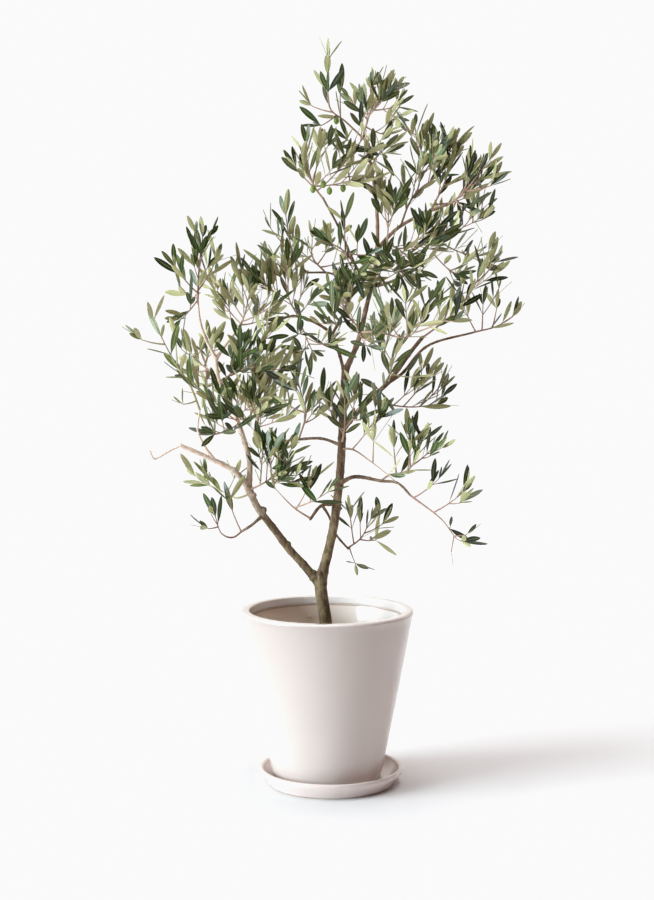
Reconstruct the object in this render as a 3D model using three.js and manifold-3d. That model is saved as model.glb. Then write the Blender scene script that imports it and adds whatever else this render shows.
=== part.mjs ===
// A young olive tree in a round glazed pot that stands in its saucer.
//
// Lengths are millimetres, +Z is up, +X is to the right and the front faces -Y.
// The origin is on the saucer's flat underside, below the centre of the pot.
// The trunk stands on the soil, forks once, and its boughs carry leafy sprays.
// Every limb and every spray is one closed solid that ends CLEARANCE short of what carries it.

import * as THREE from 'three';
import { mergeVertices } from 'three/addons/utils/BufferGeometryUtils.js';
import Module from 'manifold-3d';

const wasm = await Module();
wasm.setup();

const UP = new THREE.Vector3(0, 0, 1);
const CLEARANCE = 0.3;
const WELD_DISTANCE = 1e-4;

// Glazed pot and its saucer, turned about upright axes; the pot stands a little off its saucer's centre.
const TURNED_SIDES = 40;
const SAUCER_FOOT_RADIUS = 110;
const SAUCER_RIM_RADIUS = 125;
const SAUCER_HEIGHT = 29;
const SAUCER_WALL = 8;
const SAUCER_FLOOR = 12;
const SAUCER_SHIFT = 7;
const POT_UNDERSIDE = SAUCER_FLOOR + CLEARANCE;
const POT_TOP = 305;
const POT_FOOT_RADIUS = 94;
const POT_RIM_RADIUS = 150;
const POT_MOUTH_RADIUS = 134;
const POT_RIM_ROUNDING = 7;
const POT_LIP_DEPTH = 14;
const POT_LIP_STEP = 3;
const POT_WALL = 12;
const POT_FLOOR = 16;
const DRAIN_HOLE_RADIUS = 12;
const SOIL_TOP = 235;

// Trunk, from its flat cut at the soil to the fork.
const TRUNK_SIDES = 12;
const TRUNK_RADIUS = 10.8;
const TRUNK_FLARE = 6;
const TRUNK_FLARE_HEIGHT = 55;
const TRUNK_KNEES = [[0, 0, 225], [-2, 0, 280], [-9, 0, 326], [-12, 0, 356]];
const ROOT_RIDGES = 5;
const ROOT_RIDGE_DEPTH = 0.16;

// Space between the rings of a bough.
const RING_SPACING = 48;

// Leaves and twigs of the sprays.
const PAIR_SPACING = 30;
const LEAF_LENGTH = 55;
const LEAF_WIDTH = 13.5;
const LEAF_THICKNESS = 1.2;
const LEAF_ROOT_LENGTH = 4;
const LEAF_WIDEST_AT = 0.48;
const LEAF_SPREAD = THREE.MathUtils.degToRad(38);
const LEAF_LIFT = 0.22;
const TWIG_SIDES = 3;
const PAIR_OPENING = THREE.MathUtils.degToRad(78);
const TWIG_TIP_RADIUS = 1.3;
const SIDE_TWIG_RADIUS = 1.5;
const SHOOT_RADIUS = 1.8;
const STEM_RADIUS = 2.3;
const SIDE_TWIG_CHANCE = 0.12;
const SIDE_TWIG_LENGTH = 46;
const SPRAY_REACH = 92;
const SPACE_MARGIN = 1.5;
const LEAF_KEEP_APART = 5;
const OLIVE_RADIUS = 5.6;
const OLIVE_STRETCH = 1.3;

const BARK = new THREE.MeshStandardMaterial({ color: '#6f6150', roughness: 0.85, metalness: 0 });
const FOLIAGE = new THREE.MeshStandardMaterial({ color: '#5f6b45', roughness: 0.6, metalness: 0 });
const GLAZE = new THREE.MeshStandardMaterial({ color: '#d8cfcb', roughness: 0.2, metalness: 0 });
const EARTH = new THREE.MeshStandardMaterial({ color: '#4a3a2c', roughness: 0.95, metalness: 0 });

// Boughs. Each starts at `from` along the limb named `on` (0 is that limb's foot, 1 its tip),
// passes through its knees, and tapers from girth[0] to girth[1] (both are radii).
const LIMBS = {
  stem_left: {
    on: 'trunk', from: 0.93, girth: [7.2, 6], sides: 10,
    knees: [[-40, -2, 382], [-64, -6, 409], [-90, -12, 445], [-118, -19, 483], [-135, -25, 520]],
    knobs: [{ at: 0.42, toward: [0.6, 0, 0.8], size: 5.5 }, { at: 0.76, toward: [0.5, 0, 0.85], size: 7 }],
  },
  stem_right: {
    on: 'trunk', from: 0.95, girth: [8.3, 6.4], sides: 10, clears: ['stem_left'],
    knees: [[-4, 2, 382], [5, 4, 417], [15, 8, 472], [24, 8, 560], [27, 5, 641], [31, 0, 716]],
  },
  limb_left_pruned: {
    on: 'stem_left', from: 0.96, girth: [5.2, 3.6], sides: 8,
    knees: [[-147, -32, 538], [-167, -40, 555], [-200, -54, 573], [-247, -70, 596]],
  },
  twig_left_bare: {
    on: 'limb_left_pruned', from: 0.99, girth: [1.7, 1.2], sides: 6,
    knees: [[-266, -76, 585], [-289, -84, 574], [-295, -86, 587]],
  },
  limb_left_upright: {
    on: 'stem_left', from: 0.99, girth: [5, 3.9], sides: 8, clears: ['limb_left_pruned'],
    knees: [[-132, -22, 560], [-145, -16, 610], [-165, -5, 659], [-186, 9, 700], [-192, 18, 740]],
  },
  limb_left_arch: {
    on: 'limb_left_pruned', from: 0.55, girth: [2.3, 1.7], sides: 6,
    knees: [[-206, -66, 594], [-216, -80, 622], [-211, -95, 658]],
  },
  limb_left_crown: {
    on: 'limb_left_upright', from: 1, girth: [2.9, 2], sides: 6,
    knees: [[-206, 8, 768], [-216, -3, 800], [-220, -10, 838]],
  },
  limb_left_inner: {
    on: 'limb_left_upright', from: 0.985, girth: [3.1, 2.2], sides: 6, clears: ['limb_left_crown'],
    knees: [[-172, 31, 765], [-151, 45, 790]],
  },
  limb_left_low: {
    on: 'stem_left', from: 0.74, girth: [3.1, 2.1], sides: 6,
    knees: [[-128, -42, 457], [-144, -64, 449]],
  },
  limb_cross: {
    on: 'stem_right', from: 0.655, girth: [2.8, 1.8], sides: 6,
    knees: [[-9, 35, 598], [-58, 68, 593], [-116, 100, 581]],
  },
  limb_centre_low: {
    on: 'stem_right', from: 0.38, girth: [3.4, 2.4], sides: 6,
    knees: [[-10, -10, 486], [-29, -30, 465]],
  },
  limb_centre_back: {
    on: 'limb_centre_low', from: 0.45, girth: [2.4, 1.8], sides: 6, clears: ['stem_right'],
    knees: [[4, 28, 462], [16, 52, 428], [38, 80, 398]],
  },
  limb_right_low: {
    on: 'stem_right', from: 0.475, girth: [4, 2], sides: 8,
    knees: [[46, -20, 537], [92, -68, 535], [118, -92, 534], [140, -112, 514]],
  },
  limb_right: {
    on: 'stem_right', from: 0.73, girth: [5, 3.6], sides: 8,
    knees: [[43, 25, 634], [78, 58, 668], [107, 80, 693], [148, 104, 746], [170, 112, 773]],
  },
  limb_right_long: {
    on: 'limb_right', from: 0.55, girth: [2.9, 1.8], sides: 6,
    knees: [[132, 96, 708], [178, 138, 755], [268, 185, 780]],
  },
  limb_inner_left: {
    on: 'stem_right', from: 0.985, girth: [3.2, 1.9], sides: 6,
    knees: [[19, 40, 752], [6, 60, 781], [-54, 48, 810], [-113, 30, 793]],
  },
  limb_inner_rise: {
    on: 'limb_inner_left', from: 0.4, girth: [2.4, 1.7], sides: 6,
    knees: [[30, 76, 820], [36, 85, 855], [13, 80, 882], [-37, 70, 886]],
  },
  leader: {
    on: 'stem_right', from: 1, girth: [4.9, 2.2], sides: 8, clears: ['limb_inner_left'],
    knees: [[52, -4, 765], [66, -5, 822], [82, 2, 892], [86, 8, 965], [78, 12, 1045], [62, 12, 1119]],
  },
  limb_back_right: {
    on: 'leader', from: 0.365, girth: [3, 2.1], sides: 6,
    knees: [[112, 52, 870], [150, 98, 890], [182, 130, 912]],
  },
  limb_upper_right: {
    on: 'leader', from: 0.525, girth: [3.3, 2.1], sides: 6,
    knees: [[117, -28, 957], [154, -60, 978], [205, -95, 997]],
  },
  limb_upper_left: {
    on: 'leader', from: 0.335, girth: [2.6, 1.7], sides: 6,
    knees: [[41, -45, 910], [20, -66, 957], [-7, -85, 1006]],
  },
};

// Leafy sprays. The stem leaves the limb `on` at `from` and runs through `stem`.
// It carries leaves after its first `bare` millimetres.
// Each shoot is [place along the stem, tip x, tip y, tip z]; olives are [shoot, place along it].
const SPRAYS = {
  spray_far_left: {
    on: 'limb_left_arch', from: 0.99, seed: 11, bare: 12,
    stem: [[-226, -112, 699], [-250, -128, 738], [-281, -150, 804]],
    shoots: [[0.1, -236, -128, 668], [0.5, -250, -98, 776], [0.75, -300, -152, 774]],
  },
  spray_left_crown: {
    on: 'limb_left_crown', from: 0.99, seed: 12, bare: 8,
    stem: [[-216, -18, 896], [-210, -22, 942]],
    shoots: [[0.12, -254, -46, 892], [0.16, -190, 14, 904], [0.05, -240, 12, 846], [0.01, -246, -34, 806]],
  },
  spray_left_inner: {
    on: 'limb_left_inner', from: 0.99, seed: 13, bare: 10,
    stem: [[-141, 38, 818], [-134, 30, 848]],
    shoots: [[0.3, -170, 64, 846], [0.2, -98, 14, 826], [0.1, -112, 84, 804], [0.12, -204, 104, 864]],
  },
  spray_left_front: {
    on: 'limb_left_upright', from: 0.8, seed: 14, bare: 16,
    stem: [[-161, -32, 717], [-139, -64, 758]],
    shoots: [[0.4, -104, -54, 744], [0.5, -120, -104, 728]],
  },
  spray_left_back: {
    on: 'limb_left_upright', from: 0.87, seed: 15, bare: 20,
    stem: [[-213, 50, 722], [-238, 82, 744]],
    shoots: [[0.35, -242, 58, 712], [0.5, -206, 110, 762], [0.45, -212, 104, 684]],
  },
  spray_left_rosette: {
    on: 'limb_left_upright', from: 0.46, seed: 16, bare: 12,
    stem: [[-153, -45, 646], [-150, -64, 676]],
    shoots: [[0.2, -189, -52, 668], [0.3, -112, -88, 652], [0.1, -186, -84, 616]],
  },
  spray_left_fork: {
    on: 'stem_left', from: 0.975, seed: 17, bare: 22, clears: ['limb_left_upright'],
    stem: [[-110, -52, 528], [-76, -88, 552]],
    shoots: [[0.6, -60, -106, 590], [0.35, -108, -80, 584], [0.7, -48, -88, 536]],
  },
  spray_cross_end: {
    on: 'limb_cross', from: 0.99, seed: 18, bare: 10,
    stem: [[-124, 120, 616], [-110, 140, 668], [-100, 150, 716]],
    shoots: [[0.25, -74, 122, 630], [0.4, -146, 154, 656]],
  },
  spray_cross_middle: {
    on: 'limb_cross', from: 0.55, seed: 19, bare: 14,
    stem: [[-37, 57, 640], [-46, 50, 680], [-54, 46, 712]],
    shoots: [[0.4, -8, 38, 668], [0.4, -86, 86, 664], [0.25, -14, 80, 636]],
  },
  spray_left_elbow: {
    on: 'stem_left', from: 0.94, seed: 20, bare: 40, clears: ['limb_left_pruned', 'limb_left_upright'],
    stem: [[-156, -12, 500], [-178, 4, 508], [-202, 18, 518]],
    shoots: [[0.6, -160, 0, 532], [0.7, -228, 32, 532]],
  },
  spray_left_low: {
    on: 'limb_left_low', from: 0.97, seed: 21, bare: 62,
    stem: [[-158, -80, 441], [-176, -106, 452], [-184, -122, 480]],
    shoots: [[0.03, -166, -50, 498], [0.8, -196, -126, 462]],
  },
  spray_centre_low: {
    on: 'limb_centre_low', from: 0.97, seed: 22, bare: 62,
    stem: [[-56, -52, 488], [-86, -76, 522]],
    shoots: [[0.4, -28, -76, 534], [0.45, 0, -92, 518]],
  },
  spray_low_back: {
    on: 'limb_centre_back', from: 0.98, seed: 23, bare: 10,
    stem: [[60, 84, 417], [77, 80, 450]],
    shoots: [[0.2, 40, 56, 466], [0.6, 98, 94, 440], [0.4, 86, 108, 410], [0.05, 50, 88, 372]],
  },
  spray_right_low: {
    on: 'limb_right_low', from: 0.59, seed: 24, bare: 26,
    stem: [[103, -76, 545], [136, -88, 556], [158, -97, 604]],
    shoots: [[0.3, 112, -76, 590], [0.6, 172, -112, 592], [0.55, 138, -56, 610]],
  },
  spray_right_droop: {
    on: 'limb_right_low', from: 0.99, seed: 25, bare: 74,
    stem: [[189, -150, 479], [210, -168, 452], [218, -174, 448]],
    shoots: [[0.05, 182, -146, 546], [0.42, 222, -156, 526]],
  },
  spray_stem_rosette: {
    on: 'stem_right', from: 0.66, seed: 26, bare: 16,
    stem: [[30, -32, 627], [30, -48, 670]],
    shoots: [[0.4, 4, -36, 656], [0.45, 54, -64, 658]],
  },
  spray_right_sag: {
    on: 'stem_right', from: 0.64, seed: 27, bare: 130,
    stem: [[45, -26, 584], [70, -62, 570], [101, -100, 549]],
    shoots: [[0.25, 86, -70, 648], [0.7, 78, -66, 600]],
  },
  spray_right_under: {
    on: 'limb_right', from: 0.4, seed: 28, bare: 66,
    stem: [[104, 78, 657], [148, 100, 649], [194, 122, 652]],
    shoots: [[0.5, 178, 120, 702], [0.75, 208, 142, 690], [0.35, 146, 82, 682]],
  },
  spray_centre_pale: {
    on: 'limb_right', from: 0.56, seed: 29, bare: 14,
    stem: [[112, 42, 722], [122, 24, 752]],
    shoots: [[0.3, 94, 28, 760], [0.35, 150, 56, 704], [0.3, 84, 22, 676]],
  },
  spray_leader_front: {
    on: 'leader', from: 0.19, seed: 30, bare: 24,
    stem: [[41, -50, 805], [23, -84, 838]],
    shoots: [[0.7, 43, -96, 862], [0.5, -2, -102, 802], [0.3, 66, -76, 762]],
  },
  spray_inner_left: {
    on: 'limb_inner_left', from: 0.7, seed: 31, bare: 8,
    stem: [[-65, 50, 838], [-72, 50, 872]],
    shoots: [[0.2, -40, 66, 858], [0.04, -26, 22, 752]],
  },
  spray_inner_top: {
    on: 'limb_inner_rise', from: 0.8, seed: 32, bare: 12,
    stem: [[-25, 85, 912], [-26, 95, 944]],
    shoots: [[0.3, 4, 104, 932], [0.2, 24, 64, 904], [0.3, -52, 118, 930]],
  },
  spray_inner_tip: {
    on: 'limb_inner_rise', from: 0.99, seed: 33, bare: 14,
    stem: [[-55, 80, 911], [-66, 90, 944], [-72, 95, 984]],
    shoots: [[0.35, -98, 82, 962], [0.25, -94, 114, 918]],
  },
  spray_front: {
    on: 'leader', from: 0.175, seed: 34, bare: 88,
    stem: [[84, -38, 785], [136, -105, 779], [167, -148, 834]],
    shoots: [[0.6, 128, -132, 832], [0.68, 198, -158, 812], [0.5, 100, -122, 806]],
  },
  spray_right: {
    on: 'limb_right', from: 0.99, seed: 35, bare: 12,
    stem: [[200, 116, 794], [236, 114, 826], [262, 108, 866], [284, 100, 924]],
    shoots: [[0.2, 200, 136, 842], [0.4, 240, 146, 864], [0.7, 298, 124, 904]],
  },
  spray_right_long: {
    on: 'limb_right_long', from: 0.99, seed: 36, bare: 8,
    stem: [[308, 194, 790], [338, 204, 808]],
    shoots: [[0.2, 282, 178, 828], [0.45, 310, 212, 822], [0.05, 250, 214, 826]],
  },
  spray_back_right: {
    on: 'limb_back_right', from: 0.99, seed: 37, bare: 10,
    stem: [[213, 146, 945], [246, 160, 970], [268, 165, 1000]],
    shoots: [[0.3, 268, 184, 916], [0.1, 230, 154, 882], [0.35, 218, 176, 990]],
  },
  spray_right_top: {
    on: 'limb_upper_right', from: 0.99, seed: 38, bare: 8,
    stem: [[226, -110, 1016], [242, -120, 1036], [262, -130, 1062]],
    shoots: [[0.3, 236, -98, 1056], [0.35, 264, -142, 1022], [0.1, 230, -126, 980]],
  },
  spray_upper_rise: {
    on: 'limb_upper_right', from: 0.38, seed: 39, bare: 20,
    stem: [[137, -34, 998], [153, -30, 1026], [157, -26, 1066], [158, -26, 1100]],
    shoots: [[0.4, 188, -54, 1052], [0.2, 130, -14, 1030], [0.6, 182, -46, 1082]],
  },
  spray_upper_middle: {
    on: 'limb_upper_right', from: 0.76, seed: 40, bare: 14,
    stem: [[195, -62, 1032], [206, -46, 1066], [212, -40, 1094]],
    shoots: [[0.4, 238, -66, 1044], [0.5, 186, -8, 1076], [0.1, 226, -46, 1006]],
  },
  spray_upper_low: {
    on: 'limb_upper_right', from: 0.1, seed: 41, bare: 16,
    stem: [[121, -60, 921], [145, -92, 896]],
    shoots: [[0.5, 164, -108, 934], [0.5, 126, -62, 878], [0.15, 103, -52, 990]],
  },
  spray_top_left: {
    on: 'leader', from: 0.975, seed: 42, bare: 30, clears: ['leader'],
    stem: [[30, 5, 1140], [6, 0, 1159], [1, -5, 1199], [2, -8, 1240]],
    shoots: [[0.45, -26, 12, 1166], [0.35, 22, -22, 1180], [0.4, -10, -18, 1130]],
    olives: [[0, 0.4]],
  },
  spray_top_right: {
    on: 'leader', from: 1, seed: 43, bare: 6,
    stem: [[69, 15, 1142], [76, 20, 1164], [98, 25, 1194]],
    shoots: [[0.5, 116, 6, 1164], [0.15, 100, 40, 1120], [0.4, 48, 44, 1166], [0.03, 92, -8, 1086]],
  },
  spray_olives: {
    on: 'limb_upper_left', from: 0.98, seed: 44, bare: 10,
    stem: [[-22, -95, 1026], [-32, -105, 1060], [-34, -110, 1088]],
    shoots: [[0.25, -50, -124, 1052], [0.35, -12, -94, 1082], [0.2, 34, -64, 1070], [0.3, 8, -122, 1050]],
    olives: [[0, 0.5], [2, 0.5], [3, 0.45], [3, 0.8], [4, 0.7]],
  },
  spray_upper_left: {
    on: 'limb_upper_left', from: 0.35, seed: 45, bare: 16,
    stem: [[21, -82, 924], [-4, -104, 934]],
    shoots: [[0.4, 28, -100, 966], [0.4, 38, -108, 896]],
  },
};

// Number stream in 0..1 that always runs the same way from one seed.
function seededDraws(seed) {
  const PERIOD = 2147483647;
  const STEP = 48271;
  let state = (seed * 7919) % PERIOD;
  return () => {
    state = (state * STEP) % PERIOD;
    return state / PERIOD;
  };
}

const vector = ([x, y, z]) => new THREE.Vector3(x, y, z);

// Closed solid from a geometry: shared vertices are welded, flat triangles dropped, faces turned out.
function solidFrom(geometry) {
  const bare = geometry.clone();
  bare.deleteAttribute('normal');
  bare.deleteAttribute('uv');
  const welded = mergeVertices(bare, WELD_DISTANCE);
  const corners = welded.attributes.position;
  const order = welded.index.array;
  const triangles = [];
  let sixVolumes = 0;
  const [a, b, c] = [new THREE.Vector3(), new THREE.Vector3(), new THREE.Vector3()];
  for (let i = 0; i < order.length; i += 3) {
    const [first, second, third] = [order[i], order[i + 1], order[i + 2]];
    if (first === second || second === third || third === first) continue;
    triangles.push(first, second, third);
    a.fromBufferAttribute(corners, first);
    b.fromBufferAttribute(corners, second);
    c.fromBufferAttribute(corners, third);
    sixVolumes += a.dot(b.cross(c));
  }
  if (sixVolumes < 0) triangles.reverse();
  const mesh = new wasm.Mesh({
    numProp: 3,
    vertProperties: new Float32Array(corners.array),
    triVerts: new Uint32Array(triangles),
  });
  return new wasm.Manifold(mesh);
}

// The largest piece of a solid, without any loose scrap that a cut has left.
function largestPiece(solid) {
  const pieces = solid.decompose();
  return pieces.reduce((best, piece) => (piece.volume() > best.volume() ? piece : best));
}

function geometryFrom(solid) {
  const mesh = solid.getMesh();
  const corners = new Float32Array(mesh.numVert * 3);
  for (let i = 0; i < mesh.numVert; i += 1) {
    for (let axis = 0; axis < 3; axis += 1) {
      corners[3 * i + axis] = mesh.vertProperties[mesh.numProp * i + axis];
    }
  }
  const geometry = new THREE.BufferGeometry();
  geometry.setAttribute('position', new THREE.BufferAttribute(corners, 3));
  geometry.setIndex(new THREE.BufferAttribute(new Uint32Array(mesh.triVerts), 1));
  geometry.computeVertexNormals();
  return geometry;
}

// A closed cylinder bent along a curve; `radiusAt` gives its radius at a share and an angle.
// `grow` widens it and lengthens both ends by the same amount.
function bentTube(curve, rings, sides, radiusAt, grow = 0) {
  const tube = new THREE.CylinderGeometry(1, 1, 1, sides, rings);
  const frames = curve.computeFrenetFrames(rings);
  const corners = tube.attributes.position;
  const place = new THREE.Vector3();
  for (let i = 0; i < corners.count; i += 1) {
    const ring = Math.round((corners.getY(i) + 0.5) * rings);
    const share = ring / rings;
    const across = corners.getX(i);
    const along = corners.getZ(i);
    const radius = radiusAt(share, Math.atan2(along, across)) + grow;
    place.copy(curve.getPointAt(share));
    place.addScaledVector(frames.normals[ring], across * radius);
    place.addScaledVector(frames.binormals[ring], along * radius);
    if (ring === 0) place.addScaledVector(frames.tangents[0], -grow);
    if (ring === rings) place.addScaledVector(frames.tangents[rings], grow);
    corners.setXYZ(i, place.x, place.y, place.z);
  }
  return solidFrom(tube);
}

// A curve that leaves `start` toward `tip` and lifts as it goes, as a shoot does.
function shootCurve(start, tip) {
  const middle = start.clone().lerp(tip, 0.5);
  const sag = start.distanceTo(tip) * 0.08;
  return new THREE.QuadraticBezierCurve3(start, middle.addScaledVector(UP, -sag), tip);
}

const throughKnees = (start, knees) => new THREE.CatmullRomCurve3([start, ...knees.map(vector)]);

// A full turn of a profile of [radius, height] points about the Z axis.
function turned(profile) {
  const outline = profile.map(([radius, height]) => new THREE.Vector2(radius, height));
  return new THREE.LatheGeometry(outline, TURNED_SIDES).rotateX(Math.PI / 2);
}

// Points of a round stretch of a profile, from one angle to another in degrees.
function roundStretch(centreRadius, centreHeight, radius, fromAngle, toAngle, steps = 4) {
  return Array.from({ length: steps + 1 }, (_, i) => {
    const angle = THREE.MathUtils.degToRad(fromAngle + ((toAngle - fromAngle) * i) / steps);
    return [centreRadius + radius * Math.cos(angle), centreHeight + radius * Math.sin(angle)];
  });
}

const potInnerRadius = (height) => {
  const share = (height - POT_UNDERSIDE) / (POT_TOP - POT_UNDERSIDE);
  return POT_FOOT_RADIUS - POT_WALL + share * (POT_RIM_RADIUS - POT_FOOT_RADIUS);
};

function saucerGeometry() {
  const rounding = SAUCER_WALL / 2;
  const insideFoot = SAUCER_FOOT_RADIUS - SAUCER_WALL;
  return turned([
    [0, 0],
    [SAUCER_FOOT_RADIUS - 3, 0],
    [SAUCER_FOOT_RADIUS, 3],
    ...roundStretch(SAUCER_RIM_RADIUS - rounding, SAUCER_HEIGHT - rounding, rounding, 0, 180, 3),
    [insideFoot, SAUCER_FLOOR + 1.5],
    [insideFoot - 3, SAUCER_FLOOR],
    [0, SAUCER_FLOOR],
    [0, 0],
  ]).translate(SAUCER_SHIFT, 0, 0);
}

function potGeometry() {
  const lipBottom = POT_TOP - POT_LIP_DEPTH;
  const floorTop = POT_UNDERSIDE + POT_FLOOR;
  const rounding = POT_RIM_ROUNDING;
  const innerRounding = 3;
  return turned([
    [DRAIN_HOLE_RADIUS, POT_UNDERSIDE],
    [POT_FOOT_RADIUS - 3, POT_UNDERSIDE],
    [POT_FOOT_RADIUS, POT_UNDERSIDE + 3],
    ...roundStretch(POT_RIM_RADIUS - rounding, POT_TOP - rounding, rounding, 0, 90),
    ...roundStretch(POT_MOUTH_RADIUS + innerRounding, POT_TOP - innerRounding, innerRounding, 90, 180, 2),
    [POT_MOUTH_RADIUS, lipBottom],
    [POT_MOUTH_RADIUS + POT_LIP_STEP, lipBottom - POT_LIP_STEP],
    [potInnerRadius(floorTop), floorTop],
    [DRAIN_HOLE_RADIUS, floorTop],
    [DRAIN_HOLE_RADIUS, POT_UNDERSIDE],
  ]);
}

function soilGeometry() {
  const bottom = POT_UNDERSIDE + POT_FLOOR + CLEARANCE;
  return turned([
    [0, bottom],
    [potInnerRadius(bottom) - 2 * CLEARANCE, bottom],
    [potInnerRadius(SOIL_TOP) - 2 * CLEARANCE, SOIL_TOP],
    [0, SOIL_TOP],
    [0, bottom],
  ]);
}

// Trunk: ridged and wide at the soil, where it is cut flat.
function trunkSolid(curve, grow) {
  const climb = TRUNK_KNEES.at(-1)[2] - TRUNK_KNEES[0][2];
  const radiusAt = (share, angle) => {
    const nearRoot = Math.exp((-3 * share * climb) / TRUNK_FLARE_HEIGHT);
    const ridge = 1 + ROOT_RIDGE_DEPTH * nearRoot * Math.cos(ROOT_RIDGES * angle);
    return (TRUNK_RADIUS + TRUNK_FLARE * nearRoot) * ridge;
  };
  const whole = bentTube(curve, 8, TRUNK_SIDES, radiusAt, grow);
  const below = new THREE.BoxGeometry(100, 100, 50).translate(0, 0, SOIL_TOP + CLEARANCE - 25);
  return whole.subtract(solidFrom(below));
}

function limbSolid(limb, grow) {
  const rings = Math.max(3, Math.round(limb.curve.getLength() / RING_SPACING));
  const [thick, thin] = limb.girth;
  let solid = bentTube(limb.curve, rings, limb.sides, (share) => thick + (thin - thick) * share, grow);
  for (const knob of limb.knobs ?? []) {
    const lump = new THREE.IcosahedronGeometry(knob.size + grow, 0);
    const centre = limb.curve.getPointAt(knob.at).addScaledVector(vector(knob.toward), knob.size * 0.9);
    solid = solid.add(solidFrom(lump.translate(centre.x, centre.y, centre.z)));
  }
  return solid;
}

const OLIVE = solidFrom(new THREE.IcosahedronGeometry(OLIVE_RADIUS, 0).scale(1, 1, OLIVE_STRETCH));

// A leaf, a stretch of twig or a limb as a line with a half-width, for keeping things apart.
const stretch = (start, end, halfWidth, owner) => ({ line: new THREE.Line3(start, end), halfWidth, owner });
const apart = (one, other) => {
  const between = Math.sqrt(one.line.distanceSqToLine3(other.line));
  return between - one.halfWidth - other.halfWidth;
};

function stretchesAlong(curve, count, halfWidthAt, owner) {
  const points = curve.getSpacedPoints(count);
  return points.slice(1).map((end, i) => stretch(points[i], end, halfWidthAt(i / count), owner));
}

// Boughs, in the order in which they grow on one another.
const limbs = { trunk: { curve: new THREE.CatmullRomCurve3(TRUNK_KNEES.map(vector)) } };
limbs.trunk.solid = trunkSolid(limbs.trunk.curve, 0);
limbs.trunk.wider = trunkSolid(limbs.trunk.curve, CLEARANCE);
const wood = stretchesAlong(limbs.trunk.curve, 6, () => TRUNK_RADIUS + TRUNK_FLARE, 'trunk');

for (const [name, limb] of Object.entries(LIMBS)) {
  const start = limbs[limb.on].curve.getPointAt(limb.from);
  const grown = { ...limb, curve: throughKnees(start, limb.knees) };
  let solid = limbSolid(grown, 0);
  for (const neighbour of [limb.on, ...(limb.clears ?? [])]) {
    solid = solid.subtract(limbs[neighbour].wider);
  }
  grown.solid = largestPiece(solid);
  grown.wider = limbSolid(grown, CLEARANCE);
  limbs[name] = grown;
  const [thick, thin] = limb.girth;
  wood.push(...stretchesAlong(grown.curve, 14, (share) => thick + (thin - thick) * share, name));
}

// The curves of every spray, which share out the space between the sprays.
const sprays = {};
for (const [name, spray] of Object.entries(SPRAYS)) {
  const start = limbs[spray.on].curve.getPointAt(spray.from);
  const stem = throughKnees(start, spray.stem);
  const shoots = spray.shoots.map(([place, ...tip]) => shootCurve(stem.getPointAt(place), vector(tip)));
  const lines = [stem, ...shoots].flatMap((curve) => stretchesAlong(curve, 6, () => 0, name));
  sprays[name] = { ...spray, curves: [stem, ...shoots], lines };
}

const nearest = new THREE.Vector3();
function distanceToSpray(point, spray) {
  let least = Infinity;
  for (const { line } of spray.lines) {
    line.closestPointToPoint(point, true, nearest);
    least = Math.min(least, nearest.distanceTo(point));
  }
  return least;
}

function insideOwnSpace(point, name) {
  const own = distanceToSpray(point, sprays[name]);
  if (own > SPRAY_REACH) return false;
  const others = Object.entries(sprays).filter(([other]) => other !== name);
  return others.every(([, spray]) => distanceToSpray(point, spray) > own + SPACE_MARGIN);
}

const placed = [];

// Whether a new leaf or twig keeps to its spray's space and clear of all that grew before it.
function hasRoom(piece, name) {
  const { start, end } = piece.line;
  const middle = start.clone().lerp(end, 0.55);
  if (!insideOwnSpace(middle, name) || !insideOwnSpace(end, name)) return false;
  const outer = stretch(start.clone().lerp(end, 0.3), end, piece.halfWidth, name);
  if (wood.some((limb) => apart(outer, limb) < SPACE_MARGIN)) return false;
  return placed.every((other) => {
    if (other.owner !== name) return apart(piece, other) > CLEARANCE;
    return Math.sqrt(outer.line.distanceSqToLine3(other.line)) > LEAF_KEEP_APART;
  });
}

// A direction at `angle` from the tangent, toward `outward`, lifted toward the light.
function leaving(tangent, outward, angle) {
  const heading = tangent.clone().multiplyScalar(Math.cos(angle));
  return heading.addScaledVector(outward, Math.sin(angle)).addScaledVector(UP, LEAF_LIFT).normalize();
}

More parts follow.
